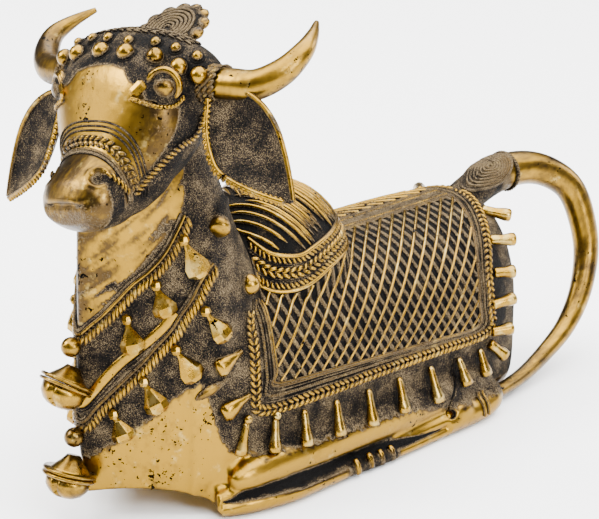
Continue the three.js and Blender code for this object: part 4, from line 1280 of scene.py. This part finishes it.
pegs = []
for side in SIDES:
    out = RIGHT * side * 0.0012
    for k, ((y, z), (foot_y, foot_z)) in enumerate(HEM_PEGS):
        top, foot = side_spot(side, y, z), side_spot(side, foot_y, foot_z)
        pegs.append(drop(top + out, foot + out * 1.6, HEM_PEG, 8, 0.75, RIGHT * side))
        if k < 2:
            pegs.append(ball(top + UP * 0.0012 + out * 1.8, 2.3, 12))
    for spots in REAR_PEGS:
        pegs.append(drop(*on_side(side, spots), REAR_PEG, 10))
# Painted highlight: a most above 1 paints the pegs pale gold where they stand proudest.
relief("pegs", pegs, body_tree, 1.6, 0.3, 1.12)


# The shoulder: a big ball where the collar ends, two thin-necked drops that point to the cloth's
# front border, a small pointed leaf between them, and a stub of rod that stands out by the ear.
SIDE_DROPS = [((44.8, -85, 81.5), (44, -100, 76.5)), ((48.9, -83.5, 60), (45.5, -98.5, 53.3))]
SIDE_DROP = [(0, 1.6), (0.3, 2.2), (0.6, 4.2), (0.85, 5.3), (1, 3.8)]
LEAF_SPOTS = ((45.8, -93.7, 70.6), (40.1, -110.4, 62.7))
LEAF = [(0, 0.5), (0.25, 1.9), (0.55, 3.0), (0.85, 2.0), (1, 0.5)]
STUB = ((26.5, -80, 152.4), (38.7, -92.2, 142.4))
STUB_PROFILE = [(0, 4.4), (0.65, 4.7), (0.82, 5.4), (0.95, 5.3), (1, 4.0)]


def skin_drop(side, spots, root_lift, end_lift, profile, corners, flat):
    """A flattened drop that lies on the skin, its ends lifted off it by these lengths."""
    (root, out), (end, end_out) = (
        body_tree.find_nearest(spot)[:2] for spot in on_side(side, spots))
    return drop(root + out * root_lift, end + end_out * end_lift, profile, corners, flat, out)


shoulder, stub_shape = [], bmesh.new()
for side in SIDES:
    shoulder.append(ball(side_spot(side, -73, 111) + RIGHT * side * 0.001, 5.2, 20))
    for spots in SIDE_DROPS:
        shoulder.append(skin_drop(side, spots, 0.001, 0.002, SIDE_DROP, 8, 0.7))
    shoulder.append(skin_drop(side, LEAF_SPOTS, 0.0006, 0.0008, LEAF, 10, 0.5))
    turned(stub_shape, *on_side(side, STUB), STUB_PROFILE, 24)
# Painted highlight: a most just above 1 paints the tops of these a little pale.
relief("shoulder_balls", shoulder, body_tree, 2.4, 0.3, 1.05)
stubs = settled("stubs", stub_shape)


def stub_rub(place, normal):
    x, y, z = measured(place)
    root, end = Vector(STUB[0]), Vector(STUB[1])
    away = Vector((abs(x), y, z)) - end
    share = 1 + away.dot(end - root) / (end - root).length_squared
    return 0.92 if share > 0.72 and away.length > 3.2 else 0.2


finished(stubs, skin_brass, stub_rub)


# The feet: a row of toes in front of each foreleg, each a drop of wax, and two threads laid round
# each heel behind them.
TOES = [(-21.6, 5.4), (-12.1, 5.8), (-4.1, 5.1), (3.8, 4.9)]
TOE = [(0, 1.2), (0.3, 2.1), (0.75, 2.2), (1, 1.4)]
HEEL_WIRE, HEEL_Y = [(56.5, 17.5), (61.4, 13.5), (64.1, 9.2), (63.5, 5)], (73.5, 77)
feet = []
for side in SIDES:
    for y, z in TOES:
        feet.append(drop(at(side * 61.5, y - 0.5, z + 4.5), at(side * 63.8, y, z - 3.2), TOE, 10))
    for y in HEEL_Y:
        heel = laid(body_tree, on_side(side, [(x, y, z) for x, z in HEEL_WIRE]))
        feet.append(drawn(wire(heel, 0.5), 1.0))
relief("feet", feet, body_tree, 1.6, 0.2)


# The tail's root: a pointed cap of wax, coiled over with thin thread and edged with a thick one.
# Behind it a rope ring lies round the tail.
CAP_Y, CAP_TURN, CAP_AROUND, CAP_LONG, CAP_POINT, CAP_HIGH = 143.5, 24, 56, 15, 7, 1.6
RING_Y, RING_Z, ROOT_RADIUS = 160.5, 105.8, 9.8
TAIL_AXIS = [(116, 94), (140, 103), (161, 106), (178, 105)]


def on_cap(share, turn, rise):
    """A place over the tail's root, by its share of the way to the cap's edge."""
    longer = CAP_LONG + CAP_POINT * max(0, -sin(turn)) ** 3
    y = CAP_Y + share * longer * sin(turn)
    around = radians(CAP_TURN + CAP_AROUND * share * cos(turn))
    out = Vector((sin(around), 0, cos(around)))
    return at(0, y, from_table(TAIL_AXIS, y)) + out * ((ROOT_RADIUS + rise) / 1000)


def cap_body(shape):
    rolled(shape, [[on_cap(share, tau * j / 48, rise) for j in range(48)] for share, rise in (
        (0.8, -1.5), (0.98, -0.5), (1, CAP_HIGH * 0.6), (0.93, CAP_HIGH), (0.6, CAP_HIGH),
        (0.3, CAP_HIGH), (0.02, CAP_HIGH))])


cap_coil = [[(on_cap(0.04 + 0.118 * k / 32, tau * k / 32, CAP_HIGH + 0.2), 1)
             for k in range(32 * 7 + 16)]]
cap_rim = [[(on_cap(1, tau * k / 48, CAP_HIGH * 0.5), 1) for k in range(49)]]
tail_tree = tree_of(tail)
ring = laid(tail_tree, hoop(at(0, RING_Y, RING_Z), RIGHT, UP, 0.011))
relief("tail_root", [wax(cap_body), drawn(cap_coil, 0.75), drawn(cap_rim, 1.3),
                     drawn(rope(ring, 2.4, 3.2, 1, 0.5), 0.8)], tail_tree, 3.2, 0.1, 0.88)
